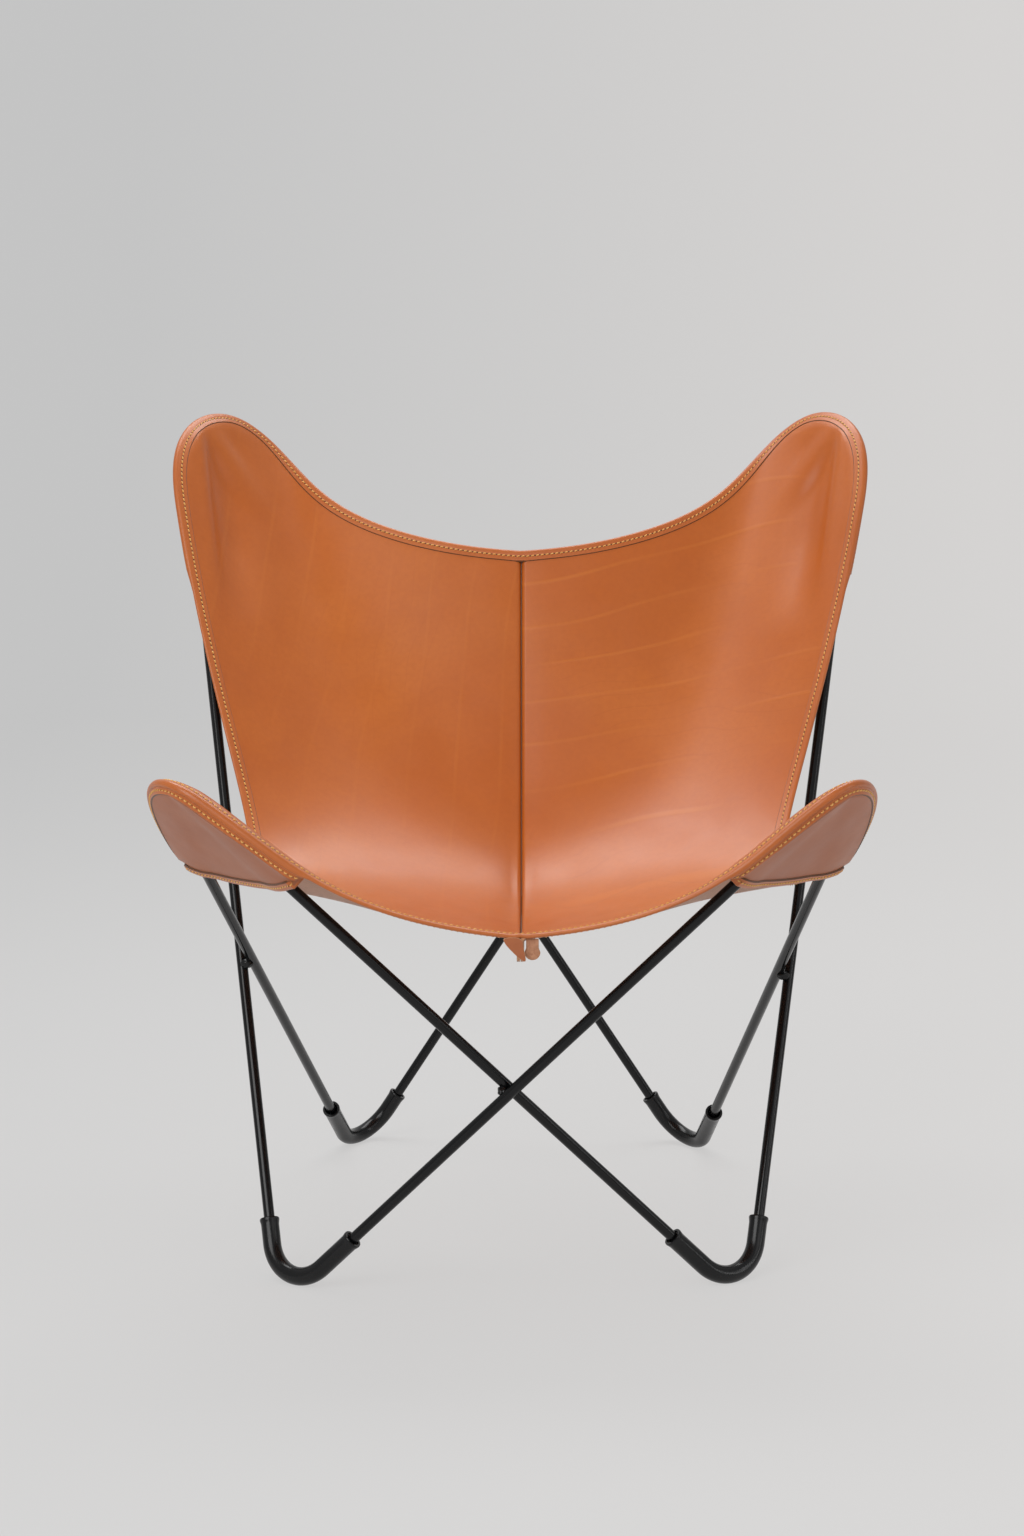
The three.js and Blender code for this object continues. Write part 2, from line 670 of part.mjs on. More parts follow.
// A pocket is sewn under the edge of its half and runs flat behind the rods to its mouth
const pocketDrop = panelThickness / 2 + fitGap + pocketThickness / 2;
const pocketDepth = rodDiameter / 2 + slipGap + bindingWall + fitGap + pocketThickness / 2;
const mouthShape = {
  upperLeg: mouthLeg,
  lowerLeg: mouthLeg,
  overGap: mouthGap,
  underGap: mouthGap,
  edgeGap: layerGap,
};
function buildPocket(half, place, tip, from, to) {
  const { side, edge } = half;
  const behindRods = (p) => shifted(p, tip.off, -pocketDepth - p.clone().sub(tip.corner).dot(tip.off));
  const ring = edge.slice(from, to + 1);
  const rims = ring.map(({ rim, rimUp }) => shifted(rim, rimUp, -pocketDrop));
  const bands = ring.map(({ band }) => behindRods(band));
  const third = (to - from) / 3;
  const mouthStart = bands[0];
  const mouthEnd = bands[to - from];
  const middle = (to - from) / 2;
  const tipMiddle = between(bands[Math.floor(middle)], bands[Math.ceil(middle)], 0.5);
  const mouth = Array.from({ length: third + 1 }, (_, i) => {
    const share = i / third;
    return between(between(mouthStart, mouthEnd, share), tipMiddle, 4 * mouthBowShare * share * (1 - share));
  });
  const list = (points) => points.map((p) => p.toArray());
  const grid = fillGrid(
    list(mouth),
    list(bands.slice(2 * third)).reverse(),
    list(bands.slice(third, 2 * third + 1)),
    list(bands.slice(0, third + 1)),
  );
  const sheet = makeSheet();
  const rimIds = rims.map((p) => sheet.add(p));
  const ids = grid.map((column) => column.map((p) => sheet.add(point(...p))));
  const bandIds = [
    ...ids[0].slice(0, -1),
    ...ids.map((column) => column[third]),
    ...ids[third].slice(0, -1).reverse(),
  ];
  for (let i = 0; i < to - from; i++) {
    sheet.quad(side, rimIds[i], rimIds[i + 1], bandIds[i + 1], bandIds[i]);
  }
  for (let i = 0; i < third; i++) {
    const [here, next] = [ids[i], ids[i + 1]];
    for (let j = 0; j < third; j++) sheet.quad(side, here[j + 1], next[j + 1], next[j], here[j]);
  }
  const directions = sheet.directions();
  addPiece(`${place}_${half.name}_pocket`, thicken(sheet, directions, pocketThickness), materials.underside);
  for (let i = 0; i <= to - from; i++) {
    edge[from + i].under = {
      rim: sheet.places[rimIds[i]],
      rimUp: directions[rimIds[i]],
      band: sheet.places[bandIds[i]],
      bandUp: directions[bandIds[i]],
      thickness: pocketThickness,
    };
  }
  const rows = ids.map((column) => ({
    rim: sheet.places[column[0]],
    rimUp: tip.off,
    band: sheet.places[column[1]],
    bandUp: tip.off,
    thickness: pocketThickness,
  }));
  const rings = [
    stepBetween(rows[0], rows[1], mouthInset),
    ...rows.slice(1, -1),
    stepBetween(rows[third], rows[third - 1], mouthInset),
  ].map((row) => bindingRing(row, row, mouthShape));
  const mouthName = `${place}_${half.name}_pocket_mouth_binding`;
  addPiece(mouthName, barBody(rings, rings.length, true), materials.binding);
}

// A place on the outline a little way from one of its steps
function stepBetween(first, second, distance) {
  const share = distance / first.rim.distanceTo(second.rim);
  const step = { thickness: first.thickness };
  for (const key of ['rim', 'rimUp', 'band', 'bandUp']) step[key] = between(first[key], second[key], share);
  return step;
}

// One ring of a binding: down its upper leg, round the edge and back along its lower leg
const plainShape = {
  upperLeg: bindingLeg,
  lowerLeg: bindingLeg,
  overGap: fitGap,
  underGap: fitGap,
  edgeGap: edgeClearance,
};
function bindingRing(upper, under, shape) {
  const { upperLeg, lowerLeg, overGap, underGap, edgeGap } = { ...plainShape, ...shape };
  const outward = toward(upper.band, upper.rim);
  const place = (layer, leg, out, height) => {
    const share = leg / layer.rim.distanceTo(layer.band);
    const up = between(layer.rimUp, layer.bandUp, share);
    return shifted(shifted(between(layer.rim, layer.band, share), up, height), outward, out);
  };
  const above = upper.thickness / 2 + overGap;
  const below = -under.thickness / 2 - underGap;
  return [
    place(upper, upperLeg, 0, above + bindingWall),
    place(upper, 0, edgeGap + bindingWall, above + bindingWall),
    place(under, 0, edgeGap + bindingWall, below - bindingWall),
    place(under, lowerLeg, 0, below - bindingWall),
    place(under, lowerLeg, 0, below),
    place(under, 0, edgeGap, below),
    place(upper, 0, edgeGap, above),
    place(upper, upperLeg, 0, above),
  ];
}

for (const half of halves) {
  buildPocket(half, 'front', half.frontTip, frontPocketStartSteps, frontPocketEndSteps);
  buildPocket(half, 'back', half.backTip, backPocketStartSteps, backPocketEndSteps);
}

// The edge binding runs in two lengths that meet at the outer corners of the front pockets
function ringAt(step) {
  if (step.under) return bindingRing(step, step.under, { underGap: layerGap });
  return bindingRing(step, step, {});
}
const seamShape = { lowerLeg: fitGap - layerGap, underGap: layerGap, edgeGap: layerGap };
function seamRing(v, bandV) {
  const { net, side } = halves[1];
  const seamRun = slopeAlong(net, [0, v]).normalize();
  const up = across.clone().cross(seamRun).multiplyScalar(side);
  const step = {
    rim: onNet(net, [0, v]),
    rimUp: up,
    band: onNet(net, [0, bandV]),
    bandUp: up,
    thickness: panelThickness,
  };
  return bindingRing(step, step, seamShape);
}
const seamEndRing = (step) => bindingRing(step, step, seamShape);
const lastStep = halves[0].edge.length - 1;
const meeting = frontPocketEndSteps;
const frontRings = ({ edge }) => [seamEndRing(edge[0]), ...edge.slice(1, meeting + 1).map(ringAt)];
const backRings = ({ edge }) => [
  ringAt(stepBetween(edge[meeting], edge[meeting + 1], fitGap + bindingWall)),
  ...edge.slice(meeting + 1, lastStep).map(ringAt),
  seamEndRing(edge[lastStep]),
];
const [leftHalf, rightHalf] = halves;
addPiece('front_edge_binding', barBody([
  ...frontRings(leftHalf).reverse(),
  seamRing(0, leftHalf.band[0][1]),
  ...frontRings(rightHalf),
], meeting + 1, true), materials.binding);
addPiece('back_edge_binding', barBody([
  ...backRings(leftHalf),
  seamRing(1, leftHalf.band[lastStep][1]),
  ...backRings(rightHalf).reverse(),
], lastStep - meeting), materials.binding);

// The tab hangs beside the right flange, just behind the front binding
const tabOutline = new THREE.Shape();
const bulb = tabWidth / 2;
tabOutline.moveTo(0, 0);
tabOutline.lineTo(0, bulb - tabLength);
tabOutline.absarc(bulb, bulb - tabLength, bulb, Math.PI, 2 * Math.PI, false);
tabOutline.lineTo(tabWidth, 0);
const tab = new THREE.ExtrudeGeometry(tabOutline, {
  depth: tabThickness,
  bevelEnabled: false,
  curveSegments: bendSteps,
});
tab.rotateX(Math.PI / 2);
tab.translate(
  seamFrontShift + rollReach - seamRollRadius + panelThickness / 2 + tabGap,
  tabSetback + tabThickness - seamFrontReach,
  seamFrontHeight - panelThickness / 2 - layerGap - bindingWall - fitGap,
);
addPiece('seam_tab', tab, materials.underside);

// The chair stands on the floor with its middle over the origin
const bounds = new THREE.Box3().setFromObject(chair);
const middle = bounds.getCenter(new THREE.Vector3());
chair.position.set(-middle.x, -middle.y, -bounds.min.z);

export default chair;
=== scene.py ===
# %% [markdown]
# # A butterfly sling chair
#
# The chair has two closed loops of bent round rod, welded where they cross, and a leather
# sling whose corners slip over the four upper bends. The imported model gives the frame that
# every piece here has to fit, so it is loaded first. All sizes are in metres, +Z is up and -Y
# is the front.

# %% Load the imported model
import math

import bpy
import numpy as np
from mathutils import Matrix, Vector


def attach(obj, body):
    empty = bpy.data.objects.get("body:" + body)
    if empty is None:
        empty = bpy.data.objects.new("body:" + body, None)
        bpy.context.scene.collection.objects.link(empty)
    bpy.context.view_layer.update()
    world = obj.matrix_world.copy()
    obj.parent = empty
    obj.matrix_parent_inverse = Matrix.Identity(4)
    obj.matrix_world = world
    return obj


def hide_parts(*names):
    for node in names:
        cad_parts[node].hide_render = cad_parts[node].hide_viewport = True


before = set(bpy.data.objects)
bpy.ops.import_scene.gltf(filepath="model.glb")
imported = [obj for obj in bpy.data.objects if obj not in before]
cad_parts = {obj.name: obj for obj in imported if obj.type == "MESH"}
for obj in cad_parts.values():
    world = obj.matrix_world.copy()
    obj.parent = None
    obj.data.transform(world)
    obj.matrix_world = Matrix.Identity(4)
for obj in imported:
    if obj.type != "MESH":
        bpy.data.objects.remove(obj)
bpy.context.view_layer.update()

print("CAD nodes:", len(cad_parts))

# %% [markdown]
# ## Small helpers
#
# Most pieces here follow a path or a surface that is known as a formula. They could be drawn
# by hand and pushed into shape, but then they would miss the rods by some millimetres. Points
# from formulas, joined into meshes, keep the leather exactly on the rods that carry it. Each
# piece is shifted by half a millimetre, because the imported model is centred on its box.

# %% Points and directions
x_way = np.array([1.0, 0.0, 0.0])
z_way = np.array([0.0, 0.0, 1.0])


def unit(vectors):
    vectors = np.asarray(vectors, float)
    return vectors / np.linalg.norm(vectors, axis=-1, keepdims=True)


def lerp(start, end, share):
    return start + (end - start) * share


def smooth_step(low, high, values):
    share = np.clip((values - low) / (high - low), 0, 1)
    return share * share * (3 - 2 * share)


# %% Meshes from points and faces
middle_shift = np.array([0.0, -0.0005, 0.0])
sharp_angle = math.radians(40)


def make_piece(name, points, faces, materials, slots=None):
    mesh = bpy.data.meshes.new(name)
    mesh.from_pydata((np.asarray(points) + middle_shift).tolist(), [], [list(f) for f in faces])
    for material in materials:
        mesh.materials.append(material)
    if slots is not None:
        mesh.polygons.foreach_set("material_index", list(slots))
    mesh.shade_smooth()
    mesh.set_sharp_from_angle(angle=sharp_angle)
    mesh.update()
    piece = bpy.data.objects.new(name, mesh)
    bpy.context.scene.collection.objects.link(piece)
    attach(piece, "root")
    return piece


def ring_faces(ring_count, sides, closed_path=False):
    faces = []
    for i in range(ring_count if closed_path else ring_count - 1):
        here = i * sides
        ahead = (i + 1) % ring_count * sides
        for k in range(sides):
            other = (k + 1) % sides
            faces.append((here + k, here + other, ahead + other, ahead + k))
    return faces


def end_caps(ring_count, sides):
    last = (ring_count - 1) * sides
    return [tuple(range(sides))[::-1], tuple(range(last, last + sides))]


# %% [markdown]
# ## Black steel and black plastic
#
# The rods carry a glossy black powder coat, which shows narrow bright lines and a faint
# orange-peel texture. The sleeves on the feet are a softer black plastic. Black needs
# structure in its gloss rather than in its colour, so a fine noise goes into the bump and
# the roughness, and the colour only varies a little.

# %% Helpers for node materials
def new_material(name):
    material = bpy.data.materials.new(name)
    material.use_nodes = True
    nodes = material.node_tree.nodes
    place = nodes.new("ShaderNodeTexCoord").outputs["Object"]
    return material, nodes, material.node_tree.links, nodes["Principled BSDF"], place


def noise_node(nodes, links, coordinates, scale, detail=2.0, distortion=0.0):
    node = nodes.new("ShaderNodeTexNoise")
    node.inputs["Scale"].default_value = scale
    node.inputs["Detail"].default_value = detail
    node.inputs["Distortion"].default_value = distortion
    links.new(coordinates, node.inputs["Vector"])
    return node.outputs["Fac"]


def range_node(nodes, links, value, low, high, to_low, to_high):
    node = nodes.new("ShaderNodeMapRange")
    node.inputs["From Min"].default_value = low
    node.inputs["From Max"].default_value = high
    node.inputs["To Min"].default_value = to_low
    node.inputs["To Max"].default_value = to_high
    links.new(value, node.inputs["Value"])
    return node.outputs["Result"]


def math_node(nodes, links, operation, first, second):
    node = nodes.new("ShaderNodeMath")
    node.operation = operation
    links.new(first, node.inputs[0])
    links.new(second, node.inputs[1])
    return node.outputs[0]


def bump_node(nodes, links, height, distance, strength, normal=None):
    node = nodes.new("ShaderNodeBump")
    node.inputs["Distance"].default_value = distance
    node.inputs["Strength"].default_value = strength
    links.new(height, node.inputs["Height"])
    if normal is not None:
        links.new(normal, node.inputs["Normal"])
    return node.outputs["Normal"]


def mix_colors(nodes, links, factor, first, second):
    node = nodes.new("ShaderNodeMix")
    node.data_type = "RGBA"
    links.new(factor, node.inputs["Factor"])
    for value, socket in ((first, node.inputs[6]), (second, node.inputs[7])):
        if isinstance(value, tuple):
            socket.default_value = (*value, 1.0)
        else:
            links.new(value, socket)
    return node.outputs[2]


# %% Black finishes
black_specular = 0.32
black_tone_scale = 30.0
black_wear_scale = 140.0
peel_strength = 0.5


def black_finish(name, low, high, roughness, peel_scale, peel_depth):
    material, nodes, links, shader, place = new_material(name)
    tone = noise_node(nodes, links, place, black_tone_scale, 4.0)
    links.new(mix_colors(nodes, links, tone, low, high), shader.inputs["Base Color"])
    wear = noise_node(nodes, links, place, black_wear_scale, 3.0)
    links.new(range_node(nodes, links, wear, 0.3, 0.7, *roughness), shader.inputs["Roughness"])
    peel = noise_node(nodes, links, place, peel_scale, 2.0)
    links.new(bump_node(nodes, links, peel, peel_depth, peel_strength), shader.inputs["Normal"])
    shader.inputs["Specular IOR Level"].default_value = black_specular
    return material


coat_peel = 0.00003
sleeve_grain = 0.00012
weld_lumps = 0.0005
rod_black = black_finish(
    "black_powder_coat", (0.002, 0.002, 0.0024), (0.005, 0.005, 0.0055), (0.12, 0.19), 500.0, coat_peel
)
sleeve_black = black_finish(
    "black_sleeve_plastic", (0.004, 0.004, 0.0045), (0.008, 0.008, 0.0085), (0.16, 0.26), 800.0,
    sleeve_grain,
)
weld_black = black_finish(
    "black_coated_weld", (0.004, 0.004, 0.0045), (0.010, 0.010, 0.010), (0.16, 0.30), 350.0, weld_lumps
)
print("black finishes:", rod_black.name, sleeve_black.name, weld_black.name)

# %% [markdown]
# ## The two rod loops
#
# Each loop is one rod, bent at four corners and welded shut. It runs from a front foot to the
# front tip on the other side, down to the back foot there and up to the back tip on its own
# side. A curve object with a round bevel would do, but it twists in tight bends. Here the
# corners are rounded as true arcs and a circle is carried round the path without twisting.

# %% Corners of the loops
rod_radius = 0.006
front_foot = (0.256, 0.226)
back_foot = (0.220, 0.420)
front_tip = (0.3674, 0.420, 0.606)
back_tip = (0.420, 0.334, 0.961)
loop_stagger = 0.01297
foot_bend_radius = 0.047
front_bend_radius = 0.045
back_bend_radius = 0.030
sleeve_radius = 0.010
sleeve_flat = 0.0005
bend_steps = 28
foot_rounds = 6


def bend_at(corner, before, after, radius, steps=bend_steps):
    first = unit(before - corner)
    second = unit(after - corner)
    half = math.acos(first @ second) / 2
    reach = radius / math.tan(half)
    centre = corner + unit(first + second) * radius / math.sin(half)
    start = corner + first * reach - centre
    end = corner + second * reach - centre
    turn = math.pi - 2 * half
    shares = np.linspace(0, 1, steps + 1)[:, None]
    arc = (start * np.sin((1 - shares) * turn) + end * np.sin(shares * turn)) / math.sin(turn) + centre
    normal = unit(np.cross(start, end))
    steepest = unit(-z_way + normal * (z_way @ normal))
    return arc, centre + steepest * radius


def loop_corners(side):
    shift = side * loop_stagger / 2
    corners = np.array([
        [side * front_foot[0], shift - front_foot[1], 0],
        [-side * front_tip[0], shift - front_tip[1], front_tip[2]],
        [-side * back_foot[0], shift + back_foot[1], 0],
        [side * back_tip[0], shift + back_tip[1], back_tip[2]],
    ])
    foot_height = sleeve_radius - sleeve_flat
    for _ in range(foot_rounds):
        for foot in (0, 2):
            lowest = bend_at(corners[foot], corners[1], corners[3], foot_bend_radius)[1]
            corners[foot, 2] += foot_height - lowest[2]
    return corners


loops = {"left": loop_corners(-1), "right": loop_corners(1)}
print("foot corners lie at", loops["left"][[0, 2], 2].round(4), "m")


# %% A circle carried along a path
def carried_frames(path, closed):
    if closed:
        before = unit(path - np.roll(path, 1, axis=0))
        after = np.roll(before, -1, axis=0)
    else:
        steps = unit(np.diff(path, axis=0))
        before = np.vstack([steps[:1], steps])
        after = np.vstack([steps, steps[-1:]])
    tangents = unit(before + after)
    normals = [unit(np.cross(x_way, tangents[0]))]
    for tangent in tangents[1:]:
        carried = normals[-1] - tangent * (normals[-1] @ tangent)
        normals.append(unit(carried))
    normals = np.array(normals)
    return tangents, normals, np.cross(tangents, normals)


def tube_rings(path, radii, sides, closed=False):
    tangents, normals, others = carried_frames(path, closed)
    twist = 0.0
    if closed:
        back = unit(normals[-1] - tangents[0] * (normals[-1] @ tangents[0]))
        twist = math.atan2(back @ others[0], back @ normals[0])
    lengths = np.linspace(0, 1, len(path))[:, None]
    angles = np.linspace(0, 2 * math.pi, sides, endpoint=False) - twist * lengths
    reach = np.asarray(radii).reshape(-1, 1, 1)
    return path[:, None] + reach * (
        np.cos(angles)[..., None] * normals[:, None] + np.sin(angles)[..., None] * others[:, None]
    )


# %% The loops
rod_sides = 32
bend_radii = (foot_bend_radius, front_bend_radius, foot_bend_radius, back_bend_radius)
for side, corners in loops.items():
    path = np.vstack([
        bend_at(corners[i], corners[i - 1], corners[(i + 1) % 4], bend_radii[i])[0] for i in range(4)
    ])
    rings = tube_rings(path, np.full(len(path), rod_radius), rod_sides, closed=True)
    piece = make_piece(
        f"{side}_loop_of_rod", rings.reshape(-1, 3), ring_faces(len(path), rod_sides, True), [rod_black]
    )
    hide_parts(f"{side}_rod_loop")
    length = np.linalg.norm(path - np.roll(path, 1, axis=0), axis=1).sum()
    print(piece.name, "uses", round(length, 3), "m of rod")

# %% [markdown]
# ## Foot sleeves
#
# A length of black tube is pushed over each lower bend, so that the chair doesn't mark the
# floor. Its two ends are cut square and open a little. A thickened pipe would do, but its ends
# couldn't flare. So the wall is one ring of rings: out along the outside, over the lip and back
# along the bore.

# %% The sleeves
sleeve_sides = 40
bore_radius = 0.0063
lip_flare = 0.0009
lip_length = 0.007
sleeve_lengths = {"front": (0.100, 0.122), "back": (0.157, 0.103)}
feet = {
    "front_left": ("left", 0, 3, 1),
    "front_right": ("right", 0, 3, 1),
    "back_left": ("right", 2, 1, 3),
    "back_right": ("left", 2, 1, 3),
}
lip_shares = np.array([0.0, 0.12, 0.3, 0.6, 1.0])
lip_curve = np.array([0.55, 0.95, 1.0, 0.5, 0.0])
for name, (loop, foot, outer, inner) in feet.items():
    corners = loops[loop]
    outer_length, inner_length = sleeve_lengths[name.split("_")[0]]
    ends = [
        (corners[foot], unit(corners[outer] - corners[foot]), outer_length),
        (corners[foot], unit(corners[inner] - corners[foot]), inner_length),
    ]
    legs = [
        np.array([corner + way * (reach - lip_length * share) for share in lip_shares])
        for corner, way, reach in ends
    ]
    bend = bend_at(corners[foot], corners[outer], corners[inner], foot_bend_radius)[0]
    path = np.vstack([legs[0], bend, legs[1][::-1]])
    flare = np.concatenate([lip_curve, np.zeros(len(bend)), lip_curve[::-1]]) * lip_flare
    outside = tube_rings(path, sleeve_radius + flare, sleeve_sides)
    bore = tube_rings(path, bore_radius + np.where(flare > lip_flare / 2, 2 * lip_flare, 0), sleeve_sides)
    rings = np.concatenate([outside, bore[::-1]])
    points = rings.reshape(-1, 3)
    points[:, 2] = np.maximum(points[:, 2], 0)
    piece = make_piece(
        f"{name}_sleeve", points, ring_faces(len(rings), sleeve_sides, True), [sleeve_black]
    )
    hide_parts(f"{name}_foot_sleeve")
print("four sleeves with", len(path), "rings each")

# %% [markdown]
# ## Weld beads
#
# Where two rods pass each other, one bead of weld joins them and is painted over. It sits in
# the narrow side of the crossing. The rods could be joined into one mesh, but then they would
# no longer be two pieces. A slightly lumpy ball, drawn out towards both rods, gives the look of
# a bead that has run into the corner.

# %% The beads
bead_radius = 0.0056
bead_offset = 0.0078
bead_lumps = 0.0005
bead_sides = 24
bead_rows = 12
bead_squash = 0.9
bead_stretch = 1.25
lumps_round = 5
lumps_along = 3


def closest_points(first_start, first_end, second_start, second_end):
    first = unit(first_end - first_start)
    second = unit(second_end - second_start)
    square = np.cross(first, second)
    offset = second_start - first_start
    on_first = first_start + first * (np.cross(offset, second) @ square) / (square @ square)
    normal = unit(square)
    return on_first, on_first + normal * (offset @ normal), first, second


left_loop, right_loop = loops["left"], loops["right"]
front_way = np.array([0.0, -1.0, 0.0])
crossings = {
    "front": (left_loop[0], left_loop[1], right_loop[0], right_loop[1], -x_way),
    "back": (left_loop[2], left_loop[3], right_loop[2], right_loop[3], -x_way),
    "left": (left_loop[0], left_loop[3], right_loop[1], right_loop[2], front_way),
    "right": (right_loop[0], right_loop[3], left_loop[1], left_loop[2], front_way),
}
for name, (*rods, side) in crossings.items():
    on_first, on_second, first, second = closest_points(*rods)
    outward = unit(first * np.sign(first @ side) + second * np.sign(second @ side))
    between_rods = unit(on_second - on_first)
    third = np.cross(outward, between_rods)
    points, faces = [], []
    for row in range(bead_rows + 1):
        lift = math.pi * row / bead_rows
        for k in range(bead_sides):
            turn = 2 * math.pi * k / bead_sides
            ball = np.array([
                math.sin(lift) * math.cos(turn), math.sin(lift) * math.sin(turn), math.cos(lift)
            ])
            lump = bead_radius + bead_lumps * math.sin(lumps_round * turn + lumps_along * lift)
            shape = outward * ball[0] * bead_squash + third * ball[1] + between_rods * ball[2] * bead_stretch
            points.append((on_first + on_second) / 2 + outward * bead_offset + shape * lump)
    bead = make_piece(f"{name}_weld_bead", points, ring_faces(bead_rows + 1, bead_sides), [weld_black])
    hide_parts(f"{name}_weld")
print("weld beads at", list(crossings))

# %% [markdown]
# ## The shape of the sling
#
# Each half of the sling is one hide, hung from a front tip and a back tip and sewn to the
# other half along the middle. Hanging leather is smooth and nearly free of folds, so one
# surface patch over a net of four by four points can hold the whole half. A cloth simulation
# would also hang it, but the patch can be set so that it lies exactly on the rods and meets
# the other half along a clean line.

# %% Sizes of the leather
panel_thickness = 0.0032
panel_rim = 0.0022
pocket_thickness = 0.0024
tape_thickness = 0.001
fit_gap = 0.0003
layer_gap = 0.0008
slip_gap = 0.0004
rest_height = rod_radius + slip_gap + panel_thickness / 2

seam_start = np.array([0.012, -0.423, 0.421])
seam_end = np.array([0.0, 0.326, 0.769])
seam_handle_shares = ((0.74, -0.285), (0.69, -0.31))
flow_span = 0.420
flow_shares = ((0.67, 0, 0.058), (0.26, -0.155, 0.03), (0.243, 0.045, 0.154), (0.81, 0, 0.047))
front_corner_span = 0.200
front_corner_shares = {
    "tip": (-1.17, 0.665, -0.205),
    "edge": (0.965, -0.485, 0.265),
    "side": (1.16, 2.32, 0.105),
    "inner": (1.24, 2.145, 0.285),
}
back_corner_span = 0.280
back_corner_shares = {
    "tip": (-0.195, 0.24, 0.013),
    "edge": (1.285, -1.225, -0.004),
    "side": (-0.215, 2.2, -0.055),
    "inner": (0.9, 1.415, 0.065),
}


# %% The net of each half
def tip_frame(loop, tip, inner, outer):
    along_inner = unit(loop[inner] - loop[tip])
    along_outer = unit(loop[outer] - loop[tip])
    off = unit(np.cross(along_inner, along_outer))
    return loop[tip], along_inner, along_outer, off * np.sign(off[2])


def from_tip(tip, span, shares):
    corner, along_inner, along_outer, off = tip
    inner, outer, rise = shares
    return corner + span * (along_inner * inner + along_outer * outer) + off * (rest_height + span * rise)


def half_net(side, tip_front, tip_back):
    run = seam_end - seam_start
    handles = [seam_start + run * np.array([along, along, rise]) for along, rise in seam_handle_shares]
    seam = [seam_start, *handles, seam_end]
    flow = [p + flow_span * np.array([side * x, y, z]) for p, (x, y, z) in zip(seam, flow_shares)]
    columns = []
    for end, middle in (("edge", "inner"), ("tip", "side")):
        columns.append([
            from_tip(tip_front, front_corner_span, front_corner_shares[end]),
            from_tip(tip_front, front_corner_span, front_corner_shares[middle]),
            from_tip(tip_back, back_corner_span, back_corner_shares[middle]),
            from_tip(tip_back, back_corner_span, back_corner_shares[end]),
        ])
    return np.array([seam, flow, *columns])


def weights(t):
    t = np.asarray(t, float)
    return np.stack([(1 - t) ** 3, 3 * t * (1 - t) ** 2, 3 * t * t * (1 - t), t ** 3], -1)


def weight_slopes(t):
    t = np.asarray(t, float)
    return np.stack([
        -3 * (1 - t) ** 2, 3 * (1 - t) * (1 - 3 * t), 3 * t * (2 - 3 * t), 3 * t * t
    ], -1)


def blend(net, across, along):
    return np.einsum("...i,...j,ijk->...k", across, along, net)


def on_net(net, uv):
    return blend(net, weights(uv[..., 0]), weights(uv[..., 1]))


def slope_across(net, uv):
    return blend(net, weight_slopes(uv[..., 0]), weights(uv[..., 1]))


def slope_along(net, uv):
    return blend(net, weights(uv[..., 0]), weight_slopes(uv[..., 1]))


# %% The outline of a half
roll_radius = 0.005
roll_reach = roll_radius + fit_gap / 2 + slip_gap / 2 + panel_thickness / 2
front_round = {"edge": 0.34, "side": 0.23, "fullness": 0.48}
back_round = {"edge": 0.23, "side": 0.09, "fullness": 0.79}
detail = 6
edge_steps = 7 * detail
front_round_steps = 9 * detail
side_steps = 10 * detail
back_round_steps = 8 * detail
top_steps = 8 * detail


def seam_start_share(net, v):
    uv = np.stack([np.zeros_like(v, dtype=float), np.asarray(v, float)], -1)
    return roll_reach / np.abs(slope_across(net, uv)[..., 0])


def straight(start, end, steps):
    shares = np.linspace(0, 1, steps, endpoint=False)[:, None]
    return lerp(np.array(start, float), np.array(end, float), shares)


def rounded(start, corner, end, fullness, steps):
    start, corner, end = (np.array(p, float) for p in (start, corner, end))
    controls = np.array([start, lerp(start, corner, fullness), lerp(end, corner, fullness), end])
    return weights(np.linspace(0, 1, steps, endpoint=False)) @ controls


def outline(net):
    seam_front = (float(seam_start_share(net, 0)), 0)
    front_end = (1 - front_round["edge"], 0)
    side_start = (1, front_round["side"])
    side_end = (1, 1 - back_round["side"])
    top_start = (1 - back_round["edge"], 1)
    seam_top = (float(seam_start_share(net, 1)), 1)
    return np.vstack([
        straight(seam_front, front_end, edge_steps),
        rounded(front_end, (1, 0), side_start, front_round["fullness"], front_round_steps),
        straight(side_start, side_end, side_steps),
        rounded(side_end, (1, 1), top_start, back_round["fullness"], back_round_steps),
        straight(top_start, seam_top, top_steps),
        [seam_top],
    ])


def inward(net, side, uv, distance):
    places = on_net(net, uv)
    ahead = np.vstack([places[1:], places[-1:]])
    behind = np.vstack([places[:1], places[:-1]])
    du, dv = slope_across(net, uv), slope_along(net, uv)
    up = unit(np.cross(du, dv)) * side
    way = np.cross(up, unit(ahead - behind)) * side
    uu, mixed, vv = (du * du).sum(-1), (du * dv).sum(-1), (dv * dv).sum(-1)
    a, b = (way * du).sum(-1) * distance, (way * dv).sum(-1) * distance
    size = uu * vv - mixed * mixed
    return uv + np.stack([(a * vv - b * mixed) / size, (b * uu - a * mixed) / size], -1)


# %% Points inside an outline with four sides
even_rounds = 500


